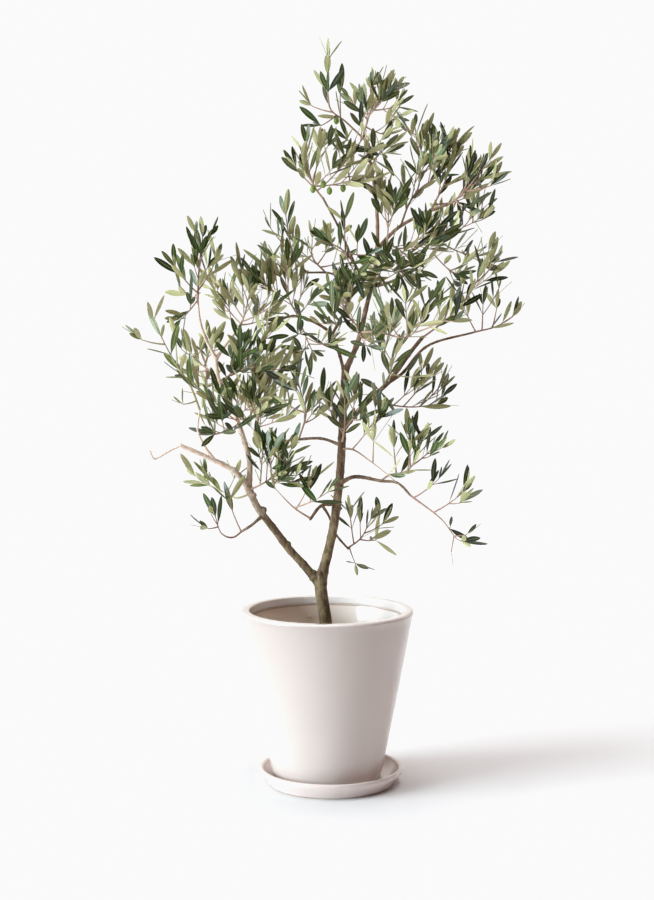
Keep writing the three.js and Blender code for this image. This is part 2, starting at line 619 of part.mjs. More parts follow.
// A three-sided twig that grows ring by ring; a leaf is drawn out of one of its own sides.
class TwigMesh {
  constructor(curve, thick, thin) {
    const FRAME_STEPS = 40;
    this.curve = curve;
    this.length = curve.getLength();
    this.radiusAt = (share) => thick + (thin - thick) * share;
    this.frames = curve.computeFrenetFrames(FRAME_STEPS);
    this.frameAt = (share) => Math.round(THREE.MathUtils.clamp(share, 0, 1) * FRAME_STEPS);
    this.corners = [];
    this.faces = [];
    this.ring = null;
    this.turn = 0;
  }

  outward(share, angle) {
    const { normals, binormals } = this.frames;
    const at = this.frameAt(share);
    const across = normals[at].clone().multiplyScalar(Math.cos(angle));
    return across.addScaledVector(binormals[at], Math.sin(angle));
  }

  addCorner(point) {
    this.corners.push(point.x, point.y, point.z);
    return this.corners.length / 3 - 1;
  }

  // Three corners at a share of the curve, with the middle of side 0 at the angle `turn`.
  addRing(share, turn) {
    const third = (Math.PI * 2) / TWIG_SIDES;
    const centre = this.curve.getPointAt(share);
    const ring = [0, 1, 2].map((corner) => {
      const angle = turn + third * (corner - 0.5);
      const outward = this.outward(share, angle);
      return this.addCorner(centre.clone().addScaledVector(outward, this.radiusAt(share)));
    });
    this.share = share;
    return ring;
  }

  start(turn) {
    this.turn = turn;
    this.ring = this.addRing(0, turn);
    this.faces.push([this.ring[2], this.ring[1], this.ring[0]]);
  }

  // Carries the twig on to a share. `leaves` holds a leaf, or nothing, for each of the three sides.
  growTo(share, turn, leaves = []) {
    const next = this.addRing(share, turn);
    for (let side = 0; side < TWIG_SIDES; side += 1) {
      const other = (side + 1) % TWIG_SIDES;
      const [a, b, c, d] = [this.ring[side], this.ring[other], next[other], next[side]];
      if (leaves[side]) this.addLeaf(leaves[side], a, b, c, d);
      else this.faces.push([a, b, c], [a, c, d]);
    }
    this.ring = next;
    this.turn = turn;
  }

  // A keeled blade between the four corners of a side (a, b low; c, d high) and its tip.
  addLeaf({ root, heading, tangent, length, width, twist }, a, b, c, d) {
    const face = tangent.clone().addScaledVector(heading, -tangent.dot(heading));
    face.normalize().applyAxisAngle(heading, twist);
    const sideways = new THREE.Vector3().crossVectors(heading, face);
    const widest = root.clone().addScaledVector(heading, length * LEAF_WIDEST_AT);
    const left = this.addCorner(widest.clone().addScaledVector(sideways, width / 2));
    const right = this.addCorner(widest.clone().addScaledVector(sideways, -width / 2));
    const keel = this.addCorner(widest.clone().addScaledVector(face, LEAF_THICKNESS));
    const tip = this.addCorner(root.clone().addScaledVector(heading, length));
    this.faces.push([a, b, right], [a, right, left], [a, left, d], [b, c, right], [c, d, keel]);
    this.faces.push([d, left, keel], [c, keel, right]);
    this.faces.push([left, right, tip], [keel, left, tip], [right, keel, tip]);
  }

  solid() {
    this.faces.push([...this.ring]);
    const geometry = new THREE.BufferGeometry();
    const corners = new Float32Array(this.corners);
    geometry.setAttribute('position', new THREE.BufferAttribute(corners, 3));
    geometry.setIndex(this.faces.flat());
    return solidFrom(geometry);
  }
}

// The ring angle nearest to `turn` that puts a side of the twig at `wanted`, and which side that is.
function nearestSide(turn, wanted) {
  const third = (Math.PI * 2) / TWIG_SIDES;
  const steps = Math.round((turn - wanted) / third);
  const side = ((-steps % TWIG_SIDES) + TWIG_SIDES) % TWIG_SIDES;
  return { turn: wanted + steps * third, side };
}

// A new leaf, if it has room. It leaves the twig at `share` toward the angle `roll`.
function leafAt(twig, share, roll, angle, size, twist, name) {
  const root = twig.curve.getPointAt(share);
  const tangent = twig.curve.getTangentAt(share);
  const heading = leaving(tangent, twig.outward(share, roll), angle);
  const length = LEAF_LENGTH * size;
  const width = LEAF_WIDTH * (0.5 + 0.5 * size);
  const piece = stretch(root, root.clone().addScaledVector(heading, length), width / 2, name);
  if (!hasRoom(piece, name)) return null;
  placed.push(piece);
  return { root, heading, tangent, length, width, twist };
}

// The places along a twig where it gets a ring or a pair of leaves, from its foot to its tip.
function stopsAlong(length, bare, forks) {
  const half = LEAF_ROOT_LENGTH / 2 / length;
  const leafy = length - bare;
  const pairs = Math.max(1, Math.round(leafy / PAIR_SPACING));
  const pairPlaces = Array.from({ length: pairs }, (_, i) => (bare + (leafy * (i + 1)) / pairs) / length);
  pairPlaces[pairs - 1] = 1 - half;
  const keepsOff = (place) => pairPlaces.every((pair) => Math.abs(pair - place) > 2 * half);
  const rings = forks.filter((place) => place > half && keepsOff(place));
  const leafyStops = pairPlaces.map((share) => ({ share, leafy: true }));
  const stops = [...rings.map((share) => ({ share })), ...leafyStops];
  return stops.sort((one, other) => one.share - other.share);
}

// Grows a twig with its opposite leaves, each pair turned across the last, and its side twigs.
// `forks` are the places where named shoots leave it.
function growTwig(curve, thick, bare, forks, name, draw, mayBranch) {
  const twig = new TwigMesh(curve, thick, TWIG_TIP_RADIUS);
  const half = LEAF_ROOT_LENGTH / 2 / twig.length;
  const solids = [];
  let roll = draw() * Math.PI * 2;
  twig.start(roll);
  for (const stop of stopsAlong(twig.length, bare, forks)) {
    if (!stop.leafy) {
      twig.growTo(stop.share, twig.turn);
      continue;
    }
    const last = stop.share + half >= 1;
    roll += Math.PI / 2 + (draw() - 0.5) * 0.9;
    const { turn, side } = nearestSide(twig.turn, roll);
    const leaves = [null, null, null];
    const branches = [];
    for (const [step, opening] of [[1, Math.PI - PAIR_OPENING], [2, Math.PI + PAIR_OPENING]]) {
      const angle = LEAF_SPREAD * (0.75 + 0.5 * draw());
      const size = 0.82 + 0.3 * draw();
      const twist = (draw() - 0.5) * 1.2;
      if (mayBranch && !last && draw() < SIDE_TWIG_CHANCE) {
        branches.push(...growSideTwig(twig, stop.share, roll + opening, angle, size, name, draw));
      } else {
        const leaf = leafAt(twig, stop.share, roll + opening, angle, size, twist, name);
        leaves[(side + step) % TWIG_SIDES] = leaf;
      }
    }
    if (last) leaves[side] = leafAt(twig, stop.share, roll, LEAF_SPREAD * 0.4, 0.8, 0, name);
    if (last || branches.length > 0 || leaves.some((leaf) => leaf)) {
      twig.growTo(stop.share - half, turn);
      twig.growTo(stop.share + half, turn, leaves);
    }
    solids.push(...branches);
  }
  return [twig.solid(), ...solids];
}

function growSideTwig(parent, share, roll, angle, size, name, draw) {
  const root = parent.curve.getPointAt(share);
  const heading = leaving(parent.curve.getTangentAt(share), parent.outward(share, roll), angle);
  const tip = root.clone().addScaledVector(heading, SIDE_TWIG_LENGTH * size);
  const room = stretch(root, tip, SIDE_TWIG_RADIUS, name);
  if (!hasRoom(room, name)) return [];
  placed.push(room);
  return growTwig(shootCurve(root, tip), SIDE_TWIG_RADIUS, SIDE_TWIG_LENGTH * 0.4, [], name, draw, false);
}

function olivesOf(spray) {
  return (spray.olives ?? []).map(([shoot, place]) => {
    const centre = spray.curves[shoot].getPointAt(place);
    centre.z -= OLIVE_RADIUS;
    return OLIVE.translate(centre.x, centre.y, centre.z);
  });
}

// One spray, fused: stem, shoots, side twigs, leaves and any olives, cut clear of its bough.
function spraySolid(name) {
  const spray = sprays[name];
  const draw = seededDraws(spray.seed);
  const [stem, ...shoots] = spray.curves;
  const olivesOn = (index) => (spray.olives ?? []).filter(([on]) => on === index).map(([, place]) => place);
  const forks = spray.shoots.map(([place]) => place);
  const pieces = growTwig(stem, STEM_RADIUS, spray.bare, [...forks, ...olivesOn(0)], name, draw, true);
  for (const [index, shoot] of shoots.entries()) {
    const bare = shoot.getLength() * 0.3;
    pieces.push(...growTwig(shoot, SHOOT_RADIUS, bare, olivesOn(index + 1), name, draw, true));
  }
  pieces.push(...olivesOf(spray));
  let solid = pieces.reduce((whole, piece) => whole.add(piece));
  for (const neighbour of [spray.on, ...(spray.clears ?? [])]) {
    solid = solid.subtract(limbs[neighbour].wider);
  }
  return largestPiece(solid);
}

for (const [name, spray] of Object.entries(sprays)) {
  const twigs = spray.curves.flatMap((curve) => stretchesAlong(curve, 5, () => STEM_RADIUS, name));
  placed.push(...twigs);
}

function namedMesh(name, geometry, material) {
  const mesh = new THREE.Mesh(geometry, material.clone());
  mesh.name = name;
  return mesh;
}

const tree = new THREE.Group();
tree.add(namedMesh('saucer', geometryFrom(solidFrom(saucerGeometry())), GLAZE));
tree.add(namedMesh('pot', geometryFrom(solidFrom(potGeometry())), GLAZE));
tree.add(namedMesh('soil', geometryFrom(solidFrom(soilGeometry())), EARTH));
for (const [name, limb] of Object.entries(limbs)) {
  tree.add(namedMesh(name, geometryFrom(limb.solid), BARK));
}
for (const name of Object.keys(sprays)) {
  tree.add(namedMesh(name, geometryFrom(spraySolid(name)), FOLIAGE));
}

export default tree;
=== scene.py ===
# %% [markdown]
# # A potted olive tree, made in Blender
#
# This lesson dresses a measured model of a young olive tree in its glazed pot. The measured solids
# give every size: where the trunk forks, how far each spray of leaves reaches, how wide the pot is.
# Here the solids are replaced by the things a close look shows: bark with its wrinkles, thin twigs
# in pairs, folded leaves with a silvery underside, a glaze that pools and thins.
# Lengths that describe the plant are in millimetres, as on the bench, and are turned into Blender's
# metres at the moment a mesh is made.

# %% Load the measured frame
from math import cos, exp, hypot, pi, radians, sin, tan

import bpy
import bmesh
import numpy as np
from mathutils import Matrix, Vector, noise


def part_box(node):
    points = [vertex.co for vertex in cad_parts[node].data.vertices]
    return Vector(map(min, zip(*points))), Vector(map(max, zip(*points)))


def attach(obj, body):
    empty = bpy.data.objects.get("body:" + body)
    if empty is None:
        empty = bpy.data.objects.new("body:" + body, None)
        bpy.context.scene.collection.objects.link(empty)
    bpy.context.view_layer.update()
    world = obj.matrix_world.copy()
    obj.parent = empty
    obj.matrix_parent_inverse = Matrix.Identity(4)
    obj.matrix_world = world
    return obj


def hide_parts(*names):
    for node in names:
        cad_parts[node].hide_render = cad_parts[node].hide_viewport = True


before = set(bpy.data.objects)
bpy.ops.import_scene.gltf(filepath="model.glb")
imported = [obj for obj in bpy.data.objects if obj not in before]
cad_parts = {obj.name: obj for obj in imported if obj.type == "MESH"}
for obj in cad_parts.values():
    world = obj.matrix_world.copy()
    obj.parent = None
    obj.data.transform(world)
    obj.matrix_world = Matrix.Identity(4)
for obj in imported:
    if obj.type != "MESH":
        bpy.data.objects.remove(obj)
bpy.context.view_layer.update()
MM = 0.001
BODY = "root"
print("solids in the frame:", len(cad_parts))

# %% [markdown]
# ## Camera
#
# The camera comes first, because everything is judged through it. The ellipses of the pot's rim and
# of the saucer tell where it stood: almost three metres away, a little above the middle of the tree,
# looking five degrees down through a short telephoto lens. In a portrait picture Blender applies the
# 36 mm sensor to the longer side, so the focal length follows from the picture's height.

# %% Camera
SENSOR, LENS = 36.0, 69.1
CAMERA_PLACE = (0.0, -2.956, 0.841)
LOOKING_DOWN = 5.02

camera = bpy.data.objects.new("camera", bpy.data.cameras.new("camera"))
bpy.context.collection.objects.link(camera)
camera.data.sensor_width = SENSOR
camera.data.lens = LENS
camera.data.clip_end = 60.0
camera.location = CAMERA_PLACE
camera.rotation_euler = (radians(90 - LOOKING_DOWN), 0.0, 0.0)
bpy.context.scene.camera = camera
print("camera distance:", round(camera.location.length, 2), "m, lens:", LENS, "mm")

# %% [markdown]
# ## Shader maths as plain expressions
#
# Most of Blender's finishes are arithmetic on a few patterns. Drawn as nodes that arithmetic is hard
# to read, so a socket is wrapped in a small class: writing `1 - mask * 0.3` then adds the two Math
# nodes. `Finish` makes a material and adds every other kind of node through one method.

# %% Sockets that can be added and multiplied
class Signal:
    """A value that flows between shader nodes."""

    def __init__(self, tree, socket):
        self.tree = tree
        self.socket = socket

    def math(self, operation, *others):
        node = self.tree.nodes.new("ShaderNodeMath")
        node.operation = operation
        for place, value in enumerate((self, *others)):
            if isinstance(value, Signal):
                self.tree.links.new(value.socket, node.inputs[place])
            else:
                node.inputs[place].default_value = value
        return Signal(self.tree, node.outputs[0])

    def __add__(self, other):
        return self.math("ADD", other)

    def __sub__(self, other):
        return self.math("SUBTRACT", other)

    def __mul__(self, other):
        return self.math("MULTIPLY", other)

    def __truediv__(self, other):
        return self.math("DIVIDE", other)

    def __radd__(self, other):
        return self + other

    def __rmul__(self, other):
        return self * other

    def __rsub__(self, other):
        return self * -1 + other

    def __rtruediv__(self, other):
        return self ** -1 * other

    def __pow__(self, other):
        return self.math("POWER", other)

    def clamped(self):
        return self.math("MAXIMUM", 0.0).math("MINIMUM", 1.0)

    def rises(self, low, high):
        """0 below low, 1 above high and a straight slope between; high may be the lower one."""
        return ((self - low) / (high - low)).clamped()


class Finish:
    """A material or a world, with its nodes."""

    def __init__(self, owner):
        owner.use_nodes = True
        self.tree = owner.node_tree
        self.tree.nodes.clear()

    def node(self, kind, settings=None, output=0, **inputs):
        """Adds a node: its settings first, then the values or signals of its named sockets."""
        node = self.tree.nodes.new("ShaderNode" + kind)
        for name, value in (settings or {}).items():
            setattr(node, name, value)
        for name, value in inputs.items():
            socket = self.find(node.inputs, name)
            if isinstance(value, Signal):
                self.tree.links.new(value.socket, socket)
            else:
                socket.default_value = value
        return Signal(self.tree, self.find(node.outputs, output))

    def find(self, sockets, name):
        """A socket by its place, or by its name with underscores for spaces."""
        if isinstance(name, int):
            return sockets[name]
        wanted = [name.replace("_", " ").lower()]
        if wanted == ["factor"]:
            wanted.append("fac")
        return next(socket for socket in sockets if socket.name.lower() in wanted and socket.enabled)

    def where(self):
        """Where a point of the surface lies, in metres from the object's own origin."""
        return self.node("TexCoord", output="Object")

    def axes(self, vector):
        """The three numbers of a vector, apart."""
        split = self.node("SeparateXYZ", Vector=vector).socket.node
        return [Signal(self.tree, split.outputs[axis]) for axis in range(3)]

    def blend(self, share, first, second):
        """Mixes two colours; a share of 0 gives the first."""
        return self.node("Mix", {"data_type": "RGBA"}, output="Result", Factor=share, A=first, B=second)

    def grain(self, where, size, detail=3.0, roughness=0.55, stretch=(1.0, 1.0, 1.0)):
        """Noise from 0 to 1 whose features are about `size` metres."""
        scaled = self.node("Mapping", Vector=where, Scale=stretch)
        return self.node("TexNoise", output="Factor", Vector=scaled, Scale=1 / size, Detail=detail,
                         Roughness=roughness)

    def relief(self, height, depth, strength=1.0):
        """A normal bent by a height from 0 to 1 that stands for `depth` metres."""
        return self.node("Bump", output="Normal", Height=height, Distance=depth, Strength=strength)

    def surface(self, **sockets):
        """The whole finish is one Principled shader with these sockets."""
        self.show(self.node("BsdfPrincipled", output="BSDF", **sockets))

    def join(self, kind, first, second, **inputs):
        """Puts two shaders together."""
        joined = self.node(kind, output="Shader", **inputs)
        shaders = [s for s in joined.socket.node.inputs if s.type == "SHADER"]
        for shader, socket in zip((first, second), shaders):
            self.tree.links.new(shader.socket, socket)
        return joined

    def show(self, shader, kind="OutputMaterial"):
        """Links a shader to the output."""
        end = self.tree.nodes.new("ShaderNode" + kind)
        self.tree.links.new(shader.socket, end.inputs["Surface"])


def new_finish(name):
    """An empty material and the finish that fills it."""
    material = bpy.data.materials.new(name)
    return material, Finish(material)


def rgb(red, green, blue):
    """A colour as a screen shows it, 0 to 255, turned into the light values that shaders use."""
    def linear(value):
        """The curve of the sRGB standard: straight in the deepest darks, a power above."""
        value /= 255
        return value / 12.92 if value <= 0.04045 else ((value + 0.055) / 1.055) ** 2.4
    return (linear(red), linear(green), linear(blue), 1.0)


print("mid grey 128 is", round(rgb(128, 128, 128)[0], 3), "as light")

# %% [markdown]
# ## Light
#
# The tree stands in a white room before a white backdrop. A light overhead throws a soft shadow
# straight down. A tall window on the left, a little in front, lights the pot from the side and draws
# the long shadow to the right; its lowest and brightest pane mirrors as a rectangle in the glaze.
# Lamps near the object would be brighter on one side of the floor than on the other, so all of this is
# painted on the world instead: infinitely far away, it lights everything evenly. The wall on the right
# gives back a little warm light. The camera itself sees a plain white room. A photograph of a white
# thing on white is exposed until the floor burns out, and its white is then set a little below paper
# white: a curve over the picture does both.
#
# Each light below is a strength and a colour. A pane has, before them, the compass bearing and the
# height of its middle and half its width and height, all in degrees.

# %% Strengths and colours of the room's lights
PICTURE_WHITE = 0.956
ROOM_WHITE = 1.02
OVERHEAD = 7.9, (1.04, 1.0, 1.0, 1.0)
BACKDROP = 1.0, (1.06, 1.0, 0.94, 1.0)
RIGHT_WALL = 0.1, (2.0, 1.0, 0.8, 1.0)
HIGH_PANE = (192, 50, 6, 8), 4.0, (1.0, 1.0, 1.0, 1.0)
MIDDLE_PANE = (200, 25, 14, 9), 8.4, (0.9, 1.0, 1.04, 1.0)
LOW_PANE = (206, 10, 14, 9), 19.4, (0.85, 1.0, 1.08, 1.0)
PANE_SOFTNESS = 0.02
print("the brightest pane is", round(LOW_PANE[1] / ROOM_WHITE), "times as bright as the room")

# %% Window and walls as the world
world = bpy.data.worlds.new("white_room")
bpy.context.scene.world = world
room = Finish(world)
east, north, up = room.axes(room.node("TexCoord", output="Generated"))


def pane(bearing, height, half_width, half_height):
    """A rectangle of light in the world."""
    bearing, height = radians(bearing), radians(height)
    toward = east * cos(bearing) + north * sin(bearing)
    across = north * cos(bearing) - east * sin(bearing)
    forward = toward * cos(height) + up * sin(height)
    upward = up * cos(height) - toward * sin(height)
    distance = forward.math("MAXIMUM", 0.001)

    def within(offset, half_angle):
        half = tan(radians(half_angle))
        return (offset / distance).math("ABSOLUTE").rises(half + PANE_SOFTNESS, half)
    return within(across, half_width) * within(upward, half_height) * forward.rises(0.0, 0.05)


def glowing(shape, strength, colour):
    """The part of the world where the shape is 1 gives light."""
    return room.node("Background", output="Background", Color=colour, Strength=shape * strength)


def wall(toward):
    """A wall that ends softly at its sides and well below the ceiling."""
    return toward.rises(0.25, 0.75) * up.rises(0.75, 0.45) * up.rises(-0.02, 0.0)


lit = glowing(up.rises(0.9, 1.0), *OVERHEAD)
for toward, light in ((north, BACKDROP), (east, RIGHT_WALL)):
    lit = room.join("AddShader", lit, glowing(wall(toward), *light))
for place, *light in (HIGH_PANE, MIDDLE_PANE, LOW_PANE):
    lit = room.join("AddShader", lit, glowing(pane(*place), *light))
seen = room.node("Background", output="Background", Color=(1.0, 1.0, 1.0, 1.0), Strength=ROOM_WHITE)
straight = room.node("LightPath", output="Is Camera Ray")
room.show(room.join("MixShader", lit, seen, Factor=straight), "OutputWorld")
world.cycles.sampling_method = "MANUAL"
world.cycles.sample_map_resolution = 512
print("room painted with", len(room.tree.nodes), "nodes")

# %% The picture's white
picture = bpy.context.scene.view_settings
picture.view_transform = "Standard"
picture.use_curve_mapping = True
picture.curve_mapping.extend = "HORIZONTAL"
*_, curve_for_all_colours = picture.curve_mapping.curves
curve_for_all_colours.points[-1].location = (1.0, PICTURE_WHITE)
picture.curve_mapping.update()
print("the brightest white is set to", PICTURE_WHITE, "of the light a screen can show")

# %% [markdown]
# ## Floor
#
# A seamless white floor: wide enough that its edge is lost in the white of the room, and plain, so
# that nothing but the shadow shows on it. Its grey is chosen so that under this light it comes out
# as white as the room, and far from the tree it fades into that same white, so no horizon shows.

# %% Floor
FLOOR_WHITE = (0.84, 0.845, 0.85, 1.0)
FLOOR_HALF = 30
FADE_STARTS, FADE_ENDS = 2.5, 6.0
corners = [(x * FLOOR_HALF, y * FLOOR_HALF, 0) for x, y in ((-1, -1), (1, -1), (1, 1), (-1, 1))]
floor_mesh = bpy.data.meshes.new("floor")
floor_mesh.from_pydata(corners, [], [(0, 1, 2, 3)])
floor = bpy.data.objects.new("floor", floor_mesh)
bpy.context.collection.objects.link(floor)
floor_material, finish = new_finish("white_floor")
across, away, _ = finish.axes(finish.where())
fade = ((across ** 2 + away ** 2) ** 0.5).rises(FADE_STARTS, FADE_ENDS)
paint = finish.node("BsdfPrincipled", output="BSDF", Base_Color=FLOOR_WHITE, Roughness=0.9,
                    Specular_IOR_Level=0.0)
glow = finish.node("Emission", output="Emission", Strength=ROOM_WHITE)
finish.show(finish.join("MixShader", paint, glow, Factor=fade))
floor_mesh.materials.append(floor_material)
print("floor laid,", 2 * FLOOR_HALF, "m wide, painted up to", FADE_STARTS, "m from the pot")

# %% [markdown]
# ## One place that turns points and faces into an object
#
# Every piece below is a mesh made in code. `Clay` gathers points and faces from many small parts and
# makes one object of them, which rides on the measured body.

# %% Gathering meshes
class Clay:
    """Points in millimetres and faces, gathered until they are made into one object."""

    def __init__(self):
        self.points = []
        self.faces = []
        self.slots = []
        self.count = 0

    def add(self, points, faces, slot=0):
        """Adds a part. `slot` is one number for all its faces, or one for each."""
        points = np.asarray(points, dtype=float)
        self.points.append(points)
        self.faces.extend([[corner + self.count for corner in face] for face in faces])
        self.slots.extend([slot] * len(faces) if isinstance(slot, int) else slot)
        self.count += len(points)

    def make(self, name, materials, record_slot, replaces, smooth=True):
        """One object in place of the measured nodes that `replaces` names."""
        mesh = bpy.data.meshes.new(name)
        mesh.from_pydata((np.concatenate(self.points) * MM).tolist(), [], self.faces)
        for material in materials:
            mesh.materials.append(material)
        mesh.polygons.foreach_set("material_index", self.slots)
        mesh.polygons.foreach_set("use_smooth", [smooth] * len(self.faces))
        mesh.update()
        piece = bpy.data.objects.new(name, mesh)
        bpy.context.collection.objects.link(piece)
        dress(piece, replaces)
        return piece


def dress(piece, replaces):
    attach(piece, BODY)
    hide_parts(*replaces)
    triangles = sum(len(face.vertices) - 2 for face in piece.data.polygons)
    print(f"{piece.name}: {triangles} triangles")


def faces_between(rings, sides):
    """Four-cornered faces between rings of points; each ring has as many points as sides."""
    faces = []
    for ring in range(rings):
        for side in range(sides):
            here, after = ring * sides + side, ring * sides + (side + 1) % sides
            faces.append([here, after, after + sides, here + sides])
    return faces


def turned(profile, sides):
    """A profile of (radius, height) points turned once about the upright axis."""
    angles = np.linspace(0, 2 * pi, sides, endpoint=False)
    points = [(radius * cos(a), radius * sin(a), z) for radius, z in profile for a in angles]
    return points, faces_between(len(profile) - 1, sides)


def arc(radius_at, height_at, rounding, start, end, steps):
    """Points of a rounded edge of a profile, between two angles in degrees."""
    angles = np.radians(np.linspace(start, end, steps + 1))
    return [(radius_at + rounding * cos(a), height_at + rounding * sin(a)) for a in angles]


def emptied(draft):
    """Points and faces of a bmesh, which is then freed."""
    points = np.array([corner.co for corner in draft.verts])
    faces = [[corner.index for corner in face.verts] for face in draft.faces]
    draft.free()
    return points, faces


def grid_ball(around, upright, radius=1.0):
    """A ball whose faces lie between circles of latitude and longitude."""
    draft = bmesh.new()
    bmesh.ops.create_uvsphere(draft, u_segments=around, v_segments=upright, radius=radius)
    return emptied(draft)


def even_ball(splits, radius=1.0):
    """A ball of nearly equal triangles, as smooth as the times they were split."""
    draft = bmesh.new()
    bmesh.ops.create_icosphere(draft, subdivisions=splits, radius=radius)
    return emptied(draft)


print("a grid ball of 12 by 8 has", len(grid_ball(12, 8)[1]), "faces")

# %% [markdown]
# ## Glaze
#
# The pot is stoneware under a warm white glaze: a mirror gloss over a body that isn't quite even, whose
# colour comes from slow noise. Light and shade are painted into that colour as well: painted shade
# toward the top, painted light from the floor toward the foot, a lighter lip top and inside as painted
# light, and a cream patch on the left of the inside wall under the lip as painted shade. Thin brown
# lines follow heights and radii of the real profile: under the inner lip, and where the saucer meets
# the floor.

# %% Sizes of the pot
POT_BOTTOM, POT_TOP, LIP_BOTTOM = 12.3, 305, 291
POT_FOOT, POT_RIM, POT_MOUTH = 94, 150, 134
POT_WALL = 12
WALL_SLOPE = round((POT_RIM - POT_FOOT) / (POT_TOP - POT_BOTTOM), 3)
print("the wall leans out", WALL_SLOPE, "mm for each mm that it rises")

# %% Glazed stoneware
LINE_HALF_WIDTH, LINE_STRENGTH = 1.6, 0.9
# The glaze's colour at the top and at the foot: darker at the top as painted shade, lighter at the foot as
# painted light from the floor.
POT_SHADED_TOP_AND_LIT_FOOT = rgb(197, 183, 176), rgb(216, 203, 196)
SAUCER_WHITES = rgb(222, 207, 201), rgb(226, 211, 205)
# The lip top and the inside are lighter than the body as painted light; the cream is painted shade on the
# left of the inside wall.
LIP_PAINTED_LIGHT, INSIDE_PAINTED_LIGHT, INSIDE_PAINTED_SHADE = rgb(242, 230, 225), rgb(250, 241, 236), rgb(246, 222, 198)
# Brown of the thin lines under the inner lip and at the saucer's foot, and of the glaze's pinholes.
LINE_BROWN, PIN_BROWN = rgb(185, 139, 103), rgb(217, 195, 173)


def glaze_finish(name, shaded_top_and_lit_foot, line_height):
    """Warm white glaze, painted with shade at the top and light at the foot, lip and inside, with one brown
    line round it.
    """
    material, finish = new_finish(name)
    where = finish.where()
    x, y, height = finish.axes(where)
    height = height / MM
    radius = (x ** 2 + y ** 2) ** 0.5 / MM
    middle_of_wall = (height - POT_BOTTOM) * WALL_SLOPE + (POT_FOOT - POT_WALL / 2)
    inside = (middle_of_wall - radius).rises(-1, 1)
    # Painted light by height: from the darker top colour, painted shade, to the lighter foot colour, painted
    # light from the floor.
    painted_light_by_height = height.rises(300, 20) + finish.grain(where, 0.11, detail=2.0) * 0.2 - 0.1
    body = finish.blend(painted_light_by_height.clamped(), *shaded_top_and_lit_foot)
    # The top of the lip is painted lighter: painted light.
    body = finish.blend(height.rises(POT_TOP - 4, POT_TOP - 0.5), body, LIP_PAINTED_LIGHT)
    # On the left of the inside wall, under the lip, the colour turns cream: painted shade.
    thin = x.rises(0.11, -0.11) * height.rises(LIP_BOTTOM + 1, LIP_BOTTOM - 5)
    # The inside wall takes a lighter white than the body: painted light.
    body = finish.blend(inside, body, finish.blend(thin, INSIDE_PAINTED_LIGHT, INSIDE_PAINTED_SHADE))
    wander = (finish.grain(where, 0.018, detail=2.0) - 0.5) * 3.0
    off_line = (height + wander * LINE_HALF_WIDTH * 0.4 - line_height).math("ABSOLUTE")
    inside_or_low = (inside + height.rises(100, 90)).clamped()
    brown = off_line.rises(LINE_HALF_WIDTH, 0.0) * LINE_STRENGTH * inside_or_low
    colour = finish.blend(brown, body, LINE_BROWN)
    pins = finish.grain(where, 0.0022, detail=1.0).rises(0.72, 0.8) * 0.25
    colour = finish.blend(pins, colour, PIN_BROWN)
    ripple = finish.relief(finish.grain(where, 0.035, detail=1.0), 0.0006)
    finish.surface(Base_Color=colour, Roughness=0.16 + brown * 0.35, Specular_IOR_Level=0.5,
                   Coat_Weight=0.3, Coat_Roughness=0.05, Normal=ripple)
    return material


pot_glaze = glaze_finish("pot_glaze", POT_SHADED_TOP_AND_LIT_FOOT, LIP_BOTTOM - 2.5)
saucer_glaze = glaze_finish("saucer_glaze", SAUCER_WHITES, 0.6)
print("glazes:", pot_glaze.name, saucer_glaze.name)

# %% [markdown]
# ## Pot and saucer
#
# Both were thrown or jiggered on a wheel, so a profile turned about the upright axis is the honest
# way to make them; the solids have forty flat sides, and here there are enough that none shows. The
# wall leans straight outward to a rounded rim, the flat lip steps in, and below it the wall is
# recessed. A real pot is never a perfect cone: the wall swells by a hair, and it stands a little off
# its saucer's centre.

# %% Pot
TURNED_SIDES = 192
DRAIN_RADIUS, FLOOR_OF_POT, WALL_SWELL = 12, 28.3, 1.2
PIP_BEARING, PIP_HEIGHT, PIP_RADIUS = radians(104), 268, 2.6


def rise(height):
    """0 at the foot of the wall, 1 at its rim."""
    return (height - POT_BOTTOM) / (POT_TOP - POT_BOTTOM)


def outer_wall(height):
    """Radius of the outer face at a height."""
    return POT_FOOT + (POT_RIM - POT_FOOT) * rise(height) + WALL_SWELL * sin(pi * rise(height))


def inner_wall(height):
    """Radius of the inner face at a height."""
    return POT_FOOT - POT_WALL + (POT_RIM - POT_FOOT) * rise(height)


def pot_profile():
    """From the drain hole out under the foot, up the wall, over the lip and down inside."""
    points = [(DRAIN_RADIUS, POT_BOTTOM), (POT_FOOT - 7, POT_BOTTOM)]
    points += arc(POT_FOOT - 4, POT_BOTTOM + 4, 4, -90, -10, 4)
    points += [(outer_wall(z), z) for z in np.linspace(POT_BOTTOM + 8, POT_TOP - 6, 24)]
    points += arc(POT_RIM - 4.5, POT_TOP - 4.5, 4.5, -5, 90, 8)
    points += arc(POT_MOUTH + 3, POT_TOP - 3, 3, 90, 180, 5)
    points += [(POT_MOUTH, LIP_BOTTOM + 3)]
    points += arc(POT_MOUTH + 2, LIP_BOTTOM + 1.5, 2, 180, 260, 3)
    points += [(inner_wall(z), z) for z in np.linspace(LIP_BOTTOM - 3, 34, 16)]
    points += [(inner_wall(30) - 4, 29), (DRAIN_RADIUS, FLOOR_OF_POT), (DRAIN_RADIUS, POT_BOTTOM)]
    return points


clay = Clay()
clay.add(*turned(pot_profile(), TURNED_SIDES))
pip_reach = inner_wall(PIP_HEIGHT) - 0.6
pip_place = np.array([pip_reach * cos(PIP_BEARING), pip_reach * sin(PIP_BEARING), PIP_HEIGHT])
pip_points, pip_faces = grid_ball(12, 8, PIP_RADIUS)
clay.add(pip_points + pip_place, pip_faces)
clay.make("pot_body", [pot_glaze], "glaze", ["pot"])

